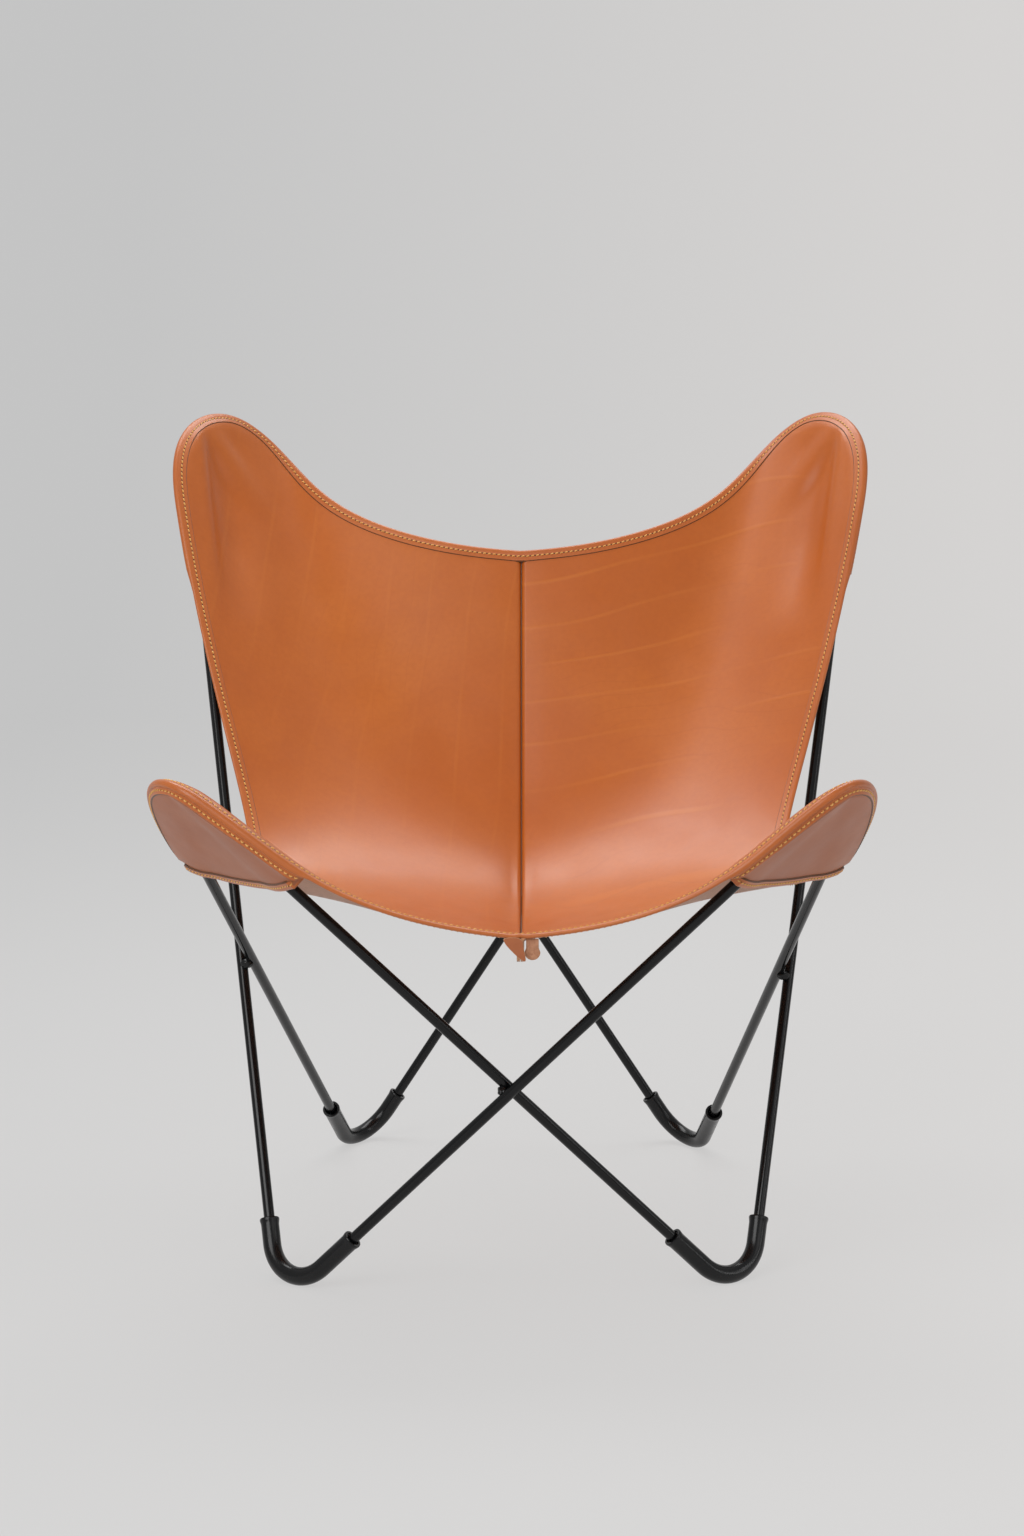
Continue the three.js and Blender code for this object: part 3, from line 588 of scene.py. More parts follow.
def fill_grid(bottom, right, top, left):
    n, m = len(bottom) - 1, len(right) - 1
    s = np.linspace(0, 1, n + 1)[:, None, None]
    t = np.linspace(0, 1, m + 1)[None, :, None]
    grid = (1 - t) * bottom[:, None] + t * top[:, None] + (1 - s) * left[None] + s * right[None]
    grid -= (1 - s) * (1 - t) * bottom[0] + s * (1 - t) * bottom[-1]
    grid -= (1 - s) * t * top[0] + s * t * top[-1]
    for _ in range(even_rounds):
        grid[1:-1, 1:-1] = (grid[:-2, 1:-1] + grid[2:, 1:-1] + grid[1:-1, :-2] + grid[1:-1, 2:]) / 4
    return grid


# %% Sheets of faces that are thickened later
class Sheet:
    def __init__(self, side):
        self.side = side
        self.places = []
        self.faces = []

    def add(self, points):
        points = np.asarray(points, float).reshape(-1, 3)
        start = len(self.places)
        self.places.extend(points)
        return np.arange(start, start + len(points))

    def quads(self, rows):
        for here, ahead in zip(rows[:-1], rows[1:]):
            for k in range(len(here) - 1):
                face = (here[k], ahead[k], ahead[k + 1], here[k + 1])
                self.faces.append(face if self.side > 0 else face[::-1])

    def directions(self):
        places = np.array(self.places)
        sums = np.zeros_like(places)
        corners = np.array(self.faces)
        normals = np.cross(
            places[corners[:, 2]] - places[corners[:, 0]], places[corners[:, 3]] - places[corners[:, 1]]
        )
        for k in range(4):
            np.add.at(sums, corners[:, k], normals)
        return unit(sums)


def thickened(sheet, thickness):
    places = np.array(sheet.places)
    up = sheet.directions()
    count = len(places)
    edges = dict.fromkeys(
        (start, end) for face in sheet.faces for start, end in zip(face, face[1:] + face[:1])
    )
    rims = [(b, a, a + count, b + count) for a, b in edges if (b, a) not in edges]
    above = [tuple(face) for face in sheet.faces]
    below = [tuple(i + count for i in face[::-1]) for face in sheet.faces]
    half = np.asarray(thickness, float).reshape(-1, 1) / 2
    points = np.vstack([places + up * half, places - up * half])
    slots = [0] * len(above) + [1] * len(below) + [2] * len(rims)
    return points, above + below + rims, slots


# %% [markdown]
# ## Leather
#
# This is vegetable-tanned hide with a satin face. From near it shows pores, fine growth
# lines that sweep across the hide and a slow change of tone. A photo of leather could be
# projected, but it would carry its own light and shadow. Layers of noise at the real sizes of
# these marks give the same reading in any light: colour varies a little, the gloss varies
# more, and the bumps stay very shallow.

# %% The grain side
tan_deep = (0.385, 0.080, 0.005)
tan_main = (0.480, 0.109, 0.0065)
tan_light = (0.55, 0.150, 0.014)
undulation = 0.0010
line_depth = 0.00025
pore_depth = 0.00010
tone_scales = {"slow": 3.2, "cloudy": 9.0, "fine": 160.0, "patches": 6.0, "gloss": 26.0, "soft": 20.0}
pore_scale = 900.0
hair_ratio = 2.6
hair_thinness = 0.975
line_wave = 5.0
hair_wave = 9.0
leather_specular = 0.46
leather_coat = 0.20
coat_roughness = 0.30


def growth_lines(nodes, links, place, turn, scale, distortion, thinness):
    turned = nodes.new("ShaderNodeMapping")
    turned.inputs["Rotation"].default_value = (0.0, turn, 0.0)
    links.new(place, turned.inputs["Vector"])
    wave = nodes.new("ShaderNodeTexWave")
    wave.bands_direction = "Z"
    wave.inputs["Scale"].default_value = scale
    wave.inputs["Distortion"].default_value = distortion
    wave.inputs["Detail"].default_value = 1.0
    wave.inputs["Detail Scale"].default_value = 0.45
    wave.inputs["Detail Roughness"].default_value = 0.4
    links.new(turned.outputs["Vector"], wave.inputs["Vector"])
    return range_node(nodes, links, wave.outputs["Fac"], thinness, 1.0, 0, 1)


def leather_finish(name, tones, roughness, marks, turn=0.0, line_scale=8.0, thinness=0.96):
    deep, main, light = tones
    material, nodes, links, shader, place = new_material(name)
    slow = noise_node(nodes, links, place, tone_scales["slow"], 2.0, 0.4)
    tone = mix_colors(nodes, links, range_node(nodes, links, slow, 0.35, 0.70, 0, 0.7), main, light)
    cloudy = noise_node(nodes, links, place, tone_scales["cloudy"], 4.0, 0.6)
    tone = mix_colors(nodes, links, range_node(nodes, links, cloudy, 0.45, 0.85, 0, 0.45), tone, deep)
    fine = noise_node(nodes, links, place, tone_scales["fine"], 3.0)
    tone = mix_colors(nodes, links, range_node(nodes, links, fine, 0.35, 0.75, 0, 0.22), tone, deep)

    lines = growth_lines(nodes, links, place, turn, line_scale, line_wave, thinness)
    patches = noise_node(nodes, links, place, tone_scales["patches"], 2.0)
    where = range_node(nodes, links, patches, 0.40, 0.62, 0, marks)
    shown = math_node(nodes, links, "MULTIPLY", lines, where)
    tone = mix_colors(nodes, links, shown, tone, light)
    hair = growth_lines(nodes, links, place, turn, hair_ratio * line_scale, hair_wave, hair_thinness)
    where = range_node(nodes, links, slow, 0.40, 0.65, 0, 0.5 * marks)
    faint = math_node(nodes, links, "MULTIPLY", hair, where)
    tone = mix_colors(nodes, links, faint, tone, deep)
    links.new(tone, shader.inputs["Base Color"])

    gloss = noise_node(nodes, links, place, tone_scales["gloss"], 3.0)
    links.new(range_node(nodes, links, gloss, 0.3, 0.7, *roughness), shader.inputs["Roughness"])
    pores = nodes.new("ShaderNodeTexVoronoi")
    pores.inputs["Scale"].default_value = pore_scale
    links.new(place, pores.inputs["Vector"])
    soft = noise_node(nodes, links, place, tone_scales["soft"], 2.0, 0.3)
    normal = bump_node(nodes, links, soft, undulation, 0.25)
    normal = bump_node(nodes, links, shown, line_depth, 0.6, normal)
    normal = bump_node(nodes, links, pores.outputs["Distance"], pore_depth, 0.4, normal)
    links.new(normal, shader.inputs["Normal"])
    shader.inputs["Specular IOR Level"].default_value = leather_specular
    shader.inputs["Coat Weight"].default_value = leather_coat
    shader.inputs["Coat Roughness"].default_value = coat_roughness
    return material


tan_tones = (tan_deep, tan_main, tan_light)
pocket_tones = ((0.30, 0.078, 0.022), (0.38, 0.106, 0.031), (0.43, 0.134, 0.043))
tape_tones = ((0.36, 0.080, 0.011), (0.47, 0.115, 0.017), (0.55, 0.155, 0.028))
left_hide = leather_finish("tan_hide_left", tan_tones, (0.34, 0.42), 0.25, math.radians(84), 6.0, 0.975)
right_hide = leather_finish("tan_hide_right", tan_tones, (0.34, 0.42), 0.60, math.radians(12), 6.4, 0.975)
pocket_hide = leather_finish("tan_hide_pocket", pocket_tones, (0.44, 0.54), 0.1)
tape_hide = leather_finish("tan_tape", tape_tones, (0.32, 0.42), 0.0)
print("leather finishes:", left_hide.name, right_hide.name, pocket_hide.name, tape_hide.name)


# %% The flesh side, cut edges and dark leather for painted shade
nap_depth = 0.0006


def flesh_finish(name, low, high, fibre_scale):
    material, nodes, links, shader, place = new_material(name)
    nap = noise_node(nodes, links, place, fibre_scale, 6.0, 0.8)
    patch = noise_node(nodes, links, place, 14.0, 3.0)
    tone = mix_colors(nodes, links, range_node(nodes, links, nap, 0.3, 0.7, 0, 1), low, high)
    tone = mix_colors(nodes, links, range_node(nodes, links, patch, 0.4, 0.8, 0, 0.4), tone, low)
    links.new(tone, shader.inputs["Base Color"])
    links.new(bump_node(nodes, links, nap, nap_depth, 0.7), shader.inputs["Normal"])
    shader.inputs["Roughness"].default_value = 0.85
    shader.inputs["Sheen Weight"].default_value = 0.25
    return material


flesh = flesh_finish("leather_flesh_side", (0.36, 0.15, 0.075), (0.52, 0.25, 0.14), 260.0)
cut_edge = flesh_finish("leather_cut_edge", (0.40, 0.17, 0.075), (0.58, 0.3, 0.15), 420.0)
# Very dark leather that paints shade: in the gap of the seam, at the ends of the tape legs and in the stitch
# holes.
painted_shade_leather = flesh_finish("dark_leather_painted_shade", (0.090, 0.030, 0.008), (0.150, 0.054, 0.014), 300.0)

# %% [markdown]
# ## The two panels
#
# A panel starts as a grid of faces over the patch. A strip of constant width runs round its
# edge, because the tape will be folded round exactly there. On the seam side the hide turns
# down over a small radius and ends in a flange, which is how the dark groove in the middle
# of the chair comes about. The groove could be painted dark, but real depth shades itself in
# any light. A thin dark sheet of painted shade between the flanges keeps daylight out of it.
# Where the leather lies on a rod it is pressed up a little, beside the rods of the back corners
# it is folded, and at the corners the rim is trimmed and bends down under its tape.

# %% Sizes of a half
band_width = 0.014
flange_front_depth = 0.024
flange_top_depth = 0.012
flange_set_back = 0.010
set_back_reach = 0.060
roll_steps = 8
flange_steps = 6
front_corner = edge_steps + 5 * detail
back_corner = edge_steps + front_round_steps + side_steps + back_round_steps // 2
front_pocket_steps = (4 * detail, 15 * detail)
back_pocket_steps = (25 * detail, 34 * detail)

# %% Where the rim is cut back and where it hangs down
rim_marks = np.array([
    0, 2, 3, 4, 5, 6, 7, 8, 9, 10.5, 12, 15, 24, 26, 28, 31, 34, 36, 37, 38.5, 40, 42
]) * detail
centre_fall = 0.0015
shoulder_fall = 0.0058
wing_falls = {"left": 0.0078, "right": 0.0054}
wing_end_fall = 0.0054
back_fall = 0.0050
wing_trim = 0.0055
back_trim = 0.0025
kink_trim = 0.0038


def rim_falls(wing):
    front = [centre_fall] * 2 + [shoulder_fall / 2] + [shoulder_fall] * 2 + [wing] * 4
    side = [wing_end_fall, centre_fall, 0, 0]
    back = [back_fall / 2, back_fall, back_fall, back_fall / 2, 0, 0, 0, 0, 0]
    return np.array(front + side + back)


rim_trims = np.array([
    0, 0, 0, 0, 0, wing_trim / 2, wing_trim, wing_trim, wing_trim / 2, 0, 0, 0, 0, back_trim, back_trim,
    back_trim, back_trim, back_trim / 2, back_trim / 2, kink_trim, 0, 0,
])


def along_rim(values, count):
    even = np.interp(np.arange(count), rim_marks, values)
    pad = detail
    wide = np.concatenate([np.full(pad, even[0]), even, np.full(pad, even[-1])])
    return np.convolve(wide, np.full(2 * pad + 1, 1 / (2 * pad + 1)), "valid")


# %% Folds of the leather beside a rod, and the roll into the seam
contact_lift = 0.0010
contact_reach = 0.0065
fold_height = 0.0040
fold_shift = 0.014
fold_reach = 0.011
hollow_depth = 0.0085
hollow_shift = 0.052
hollow_reach = 0.029
rod_margin = (0.010, 0.034)
fold_start = (0.030, 0.075)
fold_end = (0.170, 0.330)
seam_dip = 0.0042
dip_reach = 0.0165
dip_start = (0.011, 0.040)
dip_end = (0.300, 0.760)
dip_left_over = 0.35
dip_samples = 200


def bell(values, middle, reach):
    return np.exp(-(((values - middle) / reach) ** 2))


def lift_by_rods(points, front_bend, back_bend):
    lift = np.zeros(len(points))
    for corner, along_inner, along_outer, _ in (front_bend, back_bend):
        for along in (along_inner, along_outer):
            offset = points - corner
            reach = offset @ along
            apart = np.linalg.norm(offset - reach[:, None] * along, axis=1)
            touch = bell(apart, rest_height, contact_reach) * smooth_step(*fold_start, reach)
            lift = np.maximum(lift, contact_lift * touch)
    corner, along_inner, along_outer, _ = back_bend
    sideways = unit(along_inner - along_outer * (along_inner @ along_outer))
    offset = points - corner
    reach, inside = offset @ along_outer, offset @ sideways
    shown = smooth_step(*fold_start, reach) * (1 - smooth_step(*fold_end, reach))
    fold = fold_height * bell(inside, fold_shift, fold_reach)
    from_rod = np.linalg.norm(offset - (offset @ along_inner)[:, None] * along_inner, axis=1)
    hollow = hollow_depth * bell(inside, hollow_shift, hollow_reach) * smooth_step(*rod_margin, from_rod)
    return lift + shown * (fold - hollow)


def dip_at_seam(points, net):
    line = on_net(net, np.stack([np.zeros(dip_samples), np.linspace(0, 1, dip_samples)], -1))
    gone = np.concatenate([[0], np.cumsum(np.linalg.norm(np.diff(line, axis=0), axis=1))])
    travelled = np.interp(points[:, 1], line[:, 1], gone)
    apart = points[:, 0] - np.interp(points[:, 1], line[:, 1], line[:, 0])
    fade = lerp(1, dip_left_over, smooth_step(*dip_end, travelled))
    return seam_dip * bell(apart, 0, dip_reach) * smooth_step(*dip_start, travelled) * fade


# %% Building a half
def edge_steps_of(sheet, up, rim_ids, band_ids, thicknesses):
    places = np.array(sheet.places)
    return [
        {"rim": places[r], "rim_up": up[r], "band": places[b], "band_up": up[b], "thickness": thickness}
        for r, b, thickness in zip(rim_ids, band_ids, thicknesses)
    ]


def sheet_area(sheet):
    places = np.array(sheet.places)
    corners = places[np.array(sheet.faces)]
    crossed = np.cross(corners[:, 2] - corners[:, 0], corners[:, 3] - corners[:, 1])
    return float(np.linalg.norm(crossed, axis=1).sum() / 2)


def build_half(side):
    name = "left" if side < 0 else "right"
    own, opposite = (left_loop, right_loop) if side < 0 else (right_loop, left_loop)
    tip_front = tip_frame(opposite, 1, 0, 2)
    tip_back = tip_frame(own, 3, 2, 0)
    net = half_net(side, tip_front, tip_back)
    rim = outline(net)
    rim = inward(net, side, rim, along_rim(rim_trims, len(rim)))
    band = inward(net, side, rim, band_width)
    for end in (0, -1):
        band[end, 0] = seam_start_share(net, band[end, 1])
    depth_steps = back_corner - front_corner
    left_v = np.linspace(band[0, 1], band[-1, 1], depth_steps + 1)
    left_edge = np.stack([seam_start_share(net, left_v), left_v], -1)
    grid = fill_grid(
        band[: front_corner + 1], band[front_corner: back_corner + 1], band[back_corner:][::-1], left_edge
    )

    def upward(uv):
        return unit(np.cross(slope_across(net, uv), slope_along(net, uv))) * side

    flat = on_net(net, grid).reshape(-1, 3)
    lift = lift_by_rods(flat, tip_front, tip_back) - dip_at_seam(flat, net)
    sheet = Sheet(side)
    falls = along_rim(rim_falls(wing_falls[name]), len(rim))
    rim_ids = sheet.add(on_net(net, rim) - upward(rim) * falls[:, None])
    grid_ids = sheet.add(flat + upward(grid).reshape(-1, 3) * lift[:, None]).reshape(grid.shape[:2])
    sheet.quads(grid_ids)
    band_ids = np.concatenate([grid_ids[:, 0], grid_ids[-1, 1:-1], grid_ids[::-1, -1]])
    sheet.quads([list(pair) for pair in zip(rim_ids, band_ids)])

    seam_ids = np.concatenate([[rim_ids[0]], grid_ids[0], [rim_ids[-1]]])
    seam_v = np.concatenate([[0], left_v, [1]])
    seam_uv = np.stack([np.zeros_like(seam_v), seam_v], -1)
    seam_run = unit(slope_along(net, seam_uv))
    drop = -np.cross(x_way, seam_run)
    seam_line = on_net(net, seam_uv)
    top = np.array(sheet.places)[seam_ids]
    set_back = flange_set_back * (1 - smooth_step(0, set_back_reach, seam_line[:, 1] - seam_line[0, 1]))
    depth = lerp(flange_front_depth, flange_top_depth, seam_v)
    flange_x = roll_reach - roll_radius

    def flange_row(x, fall, share):
        row = top + drop * np.reshape(fall, (-1, 1)) + seam_run * (set_back * share)[:, None]
        row[:, 0] = seam_line[:, 0] + side * x
        return sheet.add(row)

    rows = [seam_ids]
    for k in range(1, roll_steps + 1):
        turn = math.pi / 2 * k / roll_steps
        rows.append(flange_row(
            flange_x + roll_radius * (1 - math.sin(turn)), roll_radius * (1 - math.cos(turn)), 0
        ))
    for k in range(1, flange_steps + 1):
        share = k / flange_steps
        rows.append(flange_row(flange_x, lerp(roll_radius, depth, share), share))
    sheet.quads([list(row)[::-1] for row in zip(*rows)][::-1])

    up = sheet.directions()
    thickness = np.full(len(sheet.places), panel_thickness)
    thickness[rim_ids] = panel_rim
    points, faces, slots = thickened(sheet, thickness)
    hide = left_hide if side < 0 else right_hide
    panel = make_piece(f"{name}_hide", points, faces, [hide, flesh, cut_edge], slots)
    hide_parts(f"{name}_leather_panel")
    area = sheet_area(sheet)
    print(panel.name, "covers", round(area, 3), "square metres")
    edge = edge_steps_of(sheet, up, rim_ids, band_ids, [panel_rim] * len(rim_ids))
    return {
        "side": side, "name": name, "net": net, "edge": edge, "area": area, "piece": panel,
        "tip_front": tip_front, "tip_back": tip_back, "band_v": (band[0, 1], band[-1, 1]),
    }


halves = [build_half(-1), build_half(1)]

# %% A sheet of painted shade in the seam
shade_sheet_thickness = 0.0004
shade_sheet_top = 0.0042
shade_sheet_bottom = 0.0110
shade_sheet_steps = 80


# Painted shade: a thin dark sheet hangs in the gap between the two flanges, a few millimetres below the seam
# line, so that the groove stays dark.
def build_shade_sheet(net):
    v = np.linspace(0, 1, shade_sheet_steps + 1)
    uv = np.stack([np.zeros_like(v), v], -1)
    line = on_net(net, uv)
    drop = -np.cross(x_way, unit(slope_along(net, uv)))
    sheet = Sheet(1)
    sheet.quads([sheet.add(line + drop * depth) for depth in (shade_sheet_top, shade_sheet_bottom)])
    points, faces, slots = thickened(sheet, shade_sheet_thickness)
    shade_sheet = make_piece("seam_painted_shade_sheet", points, faces, [painted_shade_leather], [0] * len(slots))
    return shade_sheet


print("welt:", build_shade_sheet(halves[1]["net"]).name)

# %% [markdown]
# ## Pockets
#
# Under each corner a second piece of leather is sewn along the edge. It passes behind the
# rods and makes the pocket that holds their bend. It leaves the edge along the panel, turns
# down over the outer rod and is drawn flat between the two rods, a little nearer to the panel
# in the middle. A copy of the panel, moved down, would be quicker but would cut through the
# rods. The free edge, the mouth, is cut in a shallow bow and bound with tape.

# %% Building a pocket
pocket_depth = rod_radius + slip_gap + tape_thickness + fit_gap + pocket_thickness / 2
mouth_bows = {"front": -0.11, "back": 0.06}
settle_lengths = {"front": 0.010, "back": 0.014}
leave_shares = {"front": 0.05, "back": 0.0}
skived_rim = 0.0010
skived_end = 0.0006
skive_length = 0.030
pocket_rows = 8
under_rows = {"front": 6, "back": 4}
under_legs = {"front": 0.0118, "back": 0.009}
pocket_sag = 0.0022
sag_start = (0.010, 0.035)
sag_inset = 0.050


def path_lengths(points):
    return np.concatenate([[0], np.cumsum(np.linalg.norm(np.diff(points, axis=0), axis=1))])


def sagged(points, bend):
    corner, along_inner, along_outer, off = bend
    offset = points - corner
    apart = np.minimum(*(
        np.linalg.norm(offset - (offset @ along)[:, None] * along, axis=1)
        for along in (along_inner, along_outer)
    ))
    inside = offset @ unit(along_inner + along_outer)
    sag = pocket_sag * smooth_step(*sag_start, apart) * smooth_step(0, sag_inset, inside)
    return points + off * sag[:, None]


def build_pocket(half, place, steps):
    side, edge, bend = half["side"], half["edge"], half[f"tip_{place}"]
    corner, _, _, off = bend
    start, end = steps
    third = (end - start) // 3
    ring = edge[start: end + 1]
    gone = path_lengths([step["rim"] for step in ring])
    from_end = np.minimum(gone, gone[-1] - gone)
    thin = lerp(skived_end, skived_rim, smooth_step(0, skive_length, from_end))
    thick = lerp(skived_end, pocket_thickness, smooth_step(0, skive_length, from_end))
    rims = np.array([
        step["rim"] - step["rim_up"] * (panel_rim / 2 + fit_gap + rim_thickness / 2)
        for step, rim_thickness in zip(ring, thin)
    ])
    bands = np.array([step["band"] for step in ring])
    least = np.array([
        panel_thickness / 2 + fit_gap + band_thickness / 2 for band_thickness in thick
    ])
    settle = settle_lengths[place]
    behind_rods = np.maximum((bands - corner) @ off + pocket_depth, least)
    deep = bands - off * behind_rods[:, None]
    settled = smooth_step(0, settle, from_end)
    close = bands - off * least[:, None]
    bands -= off * lerp(least, behind_rods, settled)[:, None]

    half_way = (end - start) // 2
    share = np.linspace(0, 1, third + 1)[:, None]
    mouth = lerp(deep[0], deep[-1], share)
    mouth = lerp(mouth, deep[half_way], 4 * mouth_bows[place] * share * (1 - share))
    mouth_gone = path_lengths(mouth)
    for near, reach in ((0, mouth_gone), (-1, mouth_gone[-1] - mouth_gone)):
        mouth += (bands[near] - deep[near]) * (1 - smooth_step(0, settle, reach))[:, None]
    grid = fill_grid(mouth, bands[2 * third:][::-1], bands[third: 2 * third + 1], bands[: third + 1])
    sheet = Sheet(side)
    ids = sheet.add(sagged(grid.reshape(-1, 3), bend)).reshape(grid.shape[:2])
    sheet.quads([row[::-1] for row in ids])
    band_ids = np.concatenate([ids[0, :-1], ids[:, -1], ids[-1, :-1][::-1]])
    inner_places = np.array(sheet.places)[band_ids]
    rows = []
    for k in range(pocket_rows):
        t = k / pocket_rows
        drop = (inner_places - close) * smooth_step(leave_shares[place], 1, t)
        rows.append(sheet.add(lerp(rims, close, t) + drop))
    rows.append(band_ids)
    sheet.quads([list(column) for column in zip(*rows)])

    thickness = np.full(len(sheet.places), pocket_thickness)
    for k, row in enumerate(rows):
        thickness[row] = lerp(thin, thick, k / pocket_rows)
    ends = np.array(sheet.places)[[band_ids[0], band_ids[-1]]]
    from_corner = np.linalg.norm(np.array(sheet.places)[:, None] - ends, axis=-1).min(1)
    inner = lerp(skived_end, pocket_thickness, smooth_step(0, skive_length, from_corner))
    thickness[ids] = np.minimum(thickness[ids], inner[ids])
    up = sheet.directions()
    points, faces, slots = thickened(sheet, thickness)
    slots = [(1, 0, 2)[slot] for slot in slots]
    piece = make_piece(
        f"{place}_{half['name']}_corner_pocket", points, faces, [pocket_hide, flesh, cut_edge], slots
    )
    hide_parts(f"{place}_{half['name']}_pocket")
    under_row = rows[under_rows[place]]
    for step, under in zip(ring, edge_steps_of(sheet, up, rows[0], under_row, thin)):
        step["under"] = under
        step["under_leg"] = under_legs[place]
    return edge_steps_of(sheet, up, ids[:, 0], ids[:, 2], thickness[ids[:, 0]])


mouths = {}
for half in halves:
    mouths["front", half["name"]] = build_pocket(half, "front", front_pocket_steps)
    mouths["back", half["name"]] = build_pocket(half, "back", back_pocket_steps)
print("pockets:", len(mouths))

# %% [markdown]
# ## The tape round the edges
#
# A band of thinner leather is folded round every edge and sewn through. Seen from the front
# it is a soft rounded rim, a flat leg with one row of stitches and a thin line of painted shade
# where the leg ends. A curve with a round bevel would look like piping. One closed section
# carried along the outline holds all three, and it is open inside, as the real tape is, so that
# the panel and the pocket can lie in it.

# %% The section of the tape
tape_leg = 0.013
mouth_leg = 0.010
edge_clearance = 0.0007
rim_start = 0.0016
stitch_line = 0.0066
groove_depth = 0.00030
groove_reach = 0.0019
leg_end_bevel = 0.0006
leg_end_fall = 0.0006
foot_reach = 0.0008
foot_height = 0.0002
arc_steps = 9
leg_points = 6
inside_points = 4
lower_foot = leg_points + arc_steps + leg_points - 1
section_points = lower_foot + 1 + inside_points
# Painted shade: the bevel and end of each leg, and the faces under its foot, take the dark leather, which
# draws the dark line where the leg ends.
painted_shade_faces = (0, 1, lower_foot - 2, lower_foot - 1, lower_foot, section_points - 1)


def mixed_step(first, second, share):
    return {
        key: lerp(first[key], second[key], share) for key in ("rim", "rim_up", "band", "band_up", "thickness")
    }


def on_leg(layer, outward, leg, out, height):
    share = leg / np.linalg.norm(layer["rim"] - layer["band"])
    up = unit(lerp(layer["rim_up"], layer["band_up"], share))
    return lerp(layer["rim"], layer["band"], share) + up * height + outward * out


def leg_reaches(leg):
    line = stitch_line * leg / tape_leg
    return leg, leg - leg_end_bevel, line + groove_reach, line, line - groove_reach


def tape_section(upper, under, leg=tape_leg, over_gap=fit_gap, under_gap=fit_gap):
    outward = unit(upper["rim"] - upper["band"])
    under_leg = upper.get("under_leg", leg)
    above = upper["thickness"] / 2 + over_gap
    below = -under["thickness"] / 2 - under_gap
    top = above + tape_thickness
    bottom = below - tape_thickness
    falls = (leg_end_fall, 0, 0, groove_depth, 0)
    upper_leg = list(zip(leg_reaches(leg), falls))
    lower_leg = list(zip(leg_reaches(under_leg), falls))
    upper_points = [on_leg(upper, outward, leg + foot_reach, 0, above - over_gap + foot_height)]
    upper_points += [on_leg(upper, outward, reach, 0, top - fall) for reach, fall in upper_leg]
    lower_points = [on_leg(under, outward, reach, 0, bottom + fall) for reach, fall in lower_leg[::-1]]
    lower_points += [on_leg(under, outward, under_leg + foot_reach, 0, below + under_gap - foot_height)]
    high = on_leg(upper, outward, rim_start, 0, top)
    low = on_leg(under, outward, rim_start, 0, bottom)
    bulge = rim_start + edge_clearance + tape_thickness
    turns = np.linspace(math.pi / 2, -math.pi / 2, arc_steps)
    arc = [
        (high + low) / 2 + (high - low) / 2 * math.sin(turn) + outward * bulge * math.cos(turn)
        for turn in turns
    ]
    inside = [
        on_leg(under, outward, under_leg, 0, below),
        on_leg(under, outward, 0, edge_clearance, below),
        on_leg(upper, outward, 0, edge_clearance, above),
        on_leg(upper, outward, leg, 0, above),
    ]
    return np.array([*upper_points, *arc, *lower_points, *inside])


def tape_piece(name, sections, replaced):
    count = len(sections)
    faces = ring_faces(count, section_points) + end_caps(count, section_points)
    # Painted shade goes on the leg ends and on both end caps.
    slots = [1 if k in painted_shade_faces else 0 for k in range(section_points)] * (count - 1) + [1, 1]
    piece = make_piece(name, np.vstack(sections), faces, [tape_hide, painted_shade_leather], slots)
    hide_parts(replaced)
    return piece


# %% Edge tape in two lengths
def section_at(step):
    if "under" in step:
        return tape_section(step, step["under"], under_gap=layer_gap)
    return tape_section(step, step)


def seam_step(half, v, band_v):
    net = half["net"]
    uv = np.array([[0, v], [0, band_v]], float)
    up = unit(np.cross(x_way, slope_along(net, uv[:1])[0]))
    rim, band = on_net(net, uv)
    return {"rim": rim, "rim_up": up, "band": band, "band_up": up, "thickness": panel_rim}


meeting = front_pocket_steps[1]
front_steps = [half["edge"][: meeting + 1] for half in halves]
back_steps = [
    [mixed_step(half["edge"][meeting], half["edge"][meeting + 1], 0.5), *half["edge"][meeting + 1:]]
    for half in halves
]
seam_front = seam_step(halves[1], 0, halves[0]["band_v"][0])
seam_top = seam_step(halves[1], 1, halves[0]["band_v"][1])
front_run = [*front_steps[0][::-1], seam_front, *front_steps[1]]
back_run = [*back_steps[0], seam_top, *back_steps[1][::-1]]
tape_piece("front_edge_tape", [section_at(step) for step in front_run], "front_edge_binding")
tape_piece("back_edge_tape", [section_at(step) for step in back_run], "back_edge_binding")
print("edge tape rings:", len(front_run), len(back_run))


# %% Tape along the pocket mouths
mouth_inset = 0.002


def cut_to(row, start, end):
    gone = path_lengths([step["rim"] for step in row])
    kept = [step for step, reach in zip(row, gone) if start < reach < gone[-1] - end]
    first = next(i for i, reach in enumerate(gone) if reach > start)
    last = next(i for i, reach in enumerate(gone) if reach >= gone[-1] - end)
    head = (start - gone[first - 1]) / (gone[first] - gone[first - 1])
    tail = (gone[-1] - end - gone[last - 1]) / (gone[last] - gone[last - 1])
    return [mixed_step(row[first - 1], row[first], head), *kept, mixed_step(row[last - 1], row[last], tail)]


for (place, name), row in mouths.items():
    trimmed = cut_to(row, mouth_inset, mouth_inset)
    sections = [tape_section(step, step, mouth_leg, layer_gap, layer_gap) for step in trimmed]
    tape_piece(f"{place}_{name}_mouth_tape", sections, f"{place}_{name}_pocket_mouth_binding")
    mouths[place, name] = trimmed

# %% [markdown]
# ## Stitches
#
# One row of ochre thread runs along each leg of the tape, with a stitch every six
# millimetres. Every stitch comes up through a hole, lies in a shallow groove and goes down
# again. They could be painted into the material, but from near a row of real threads catches
# the light. So each stitch is a short bent tube, and each hole a small disc of painted shade.

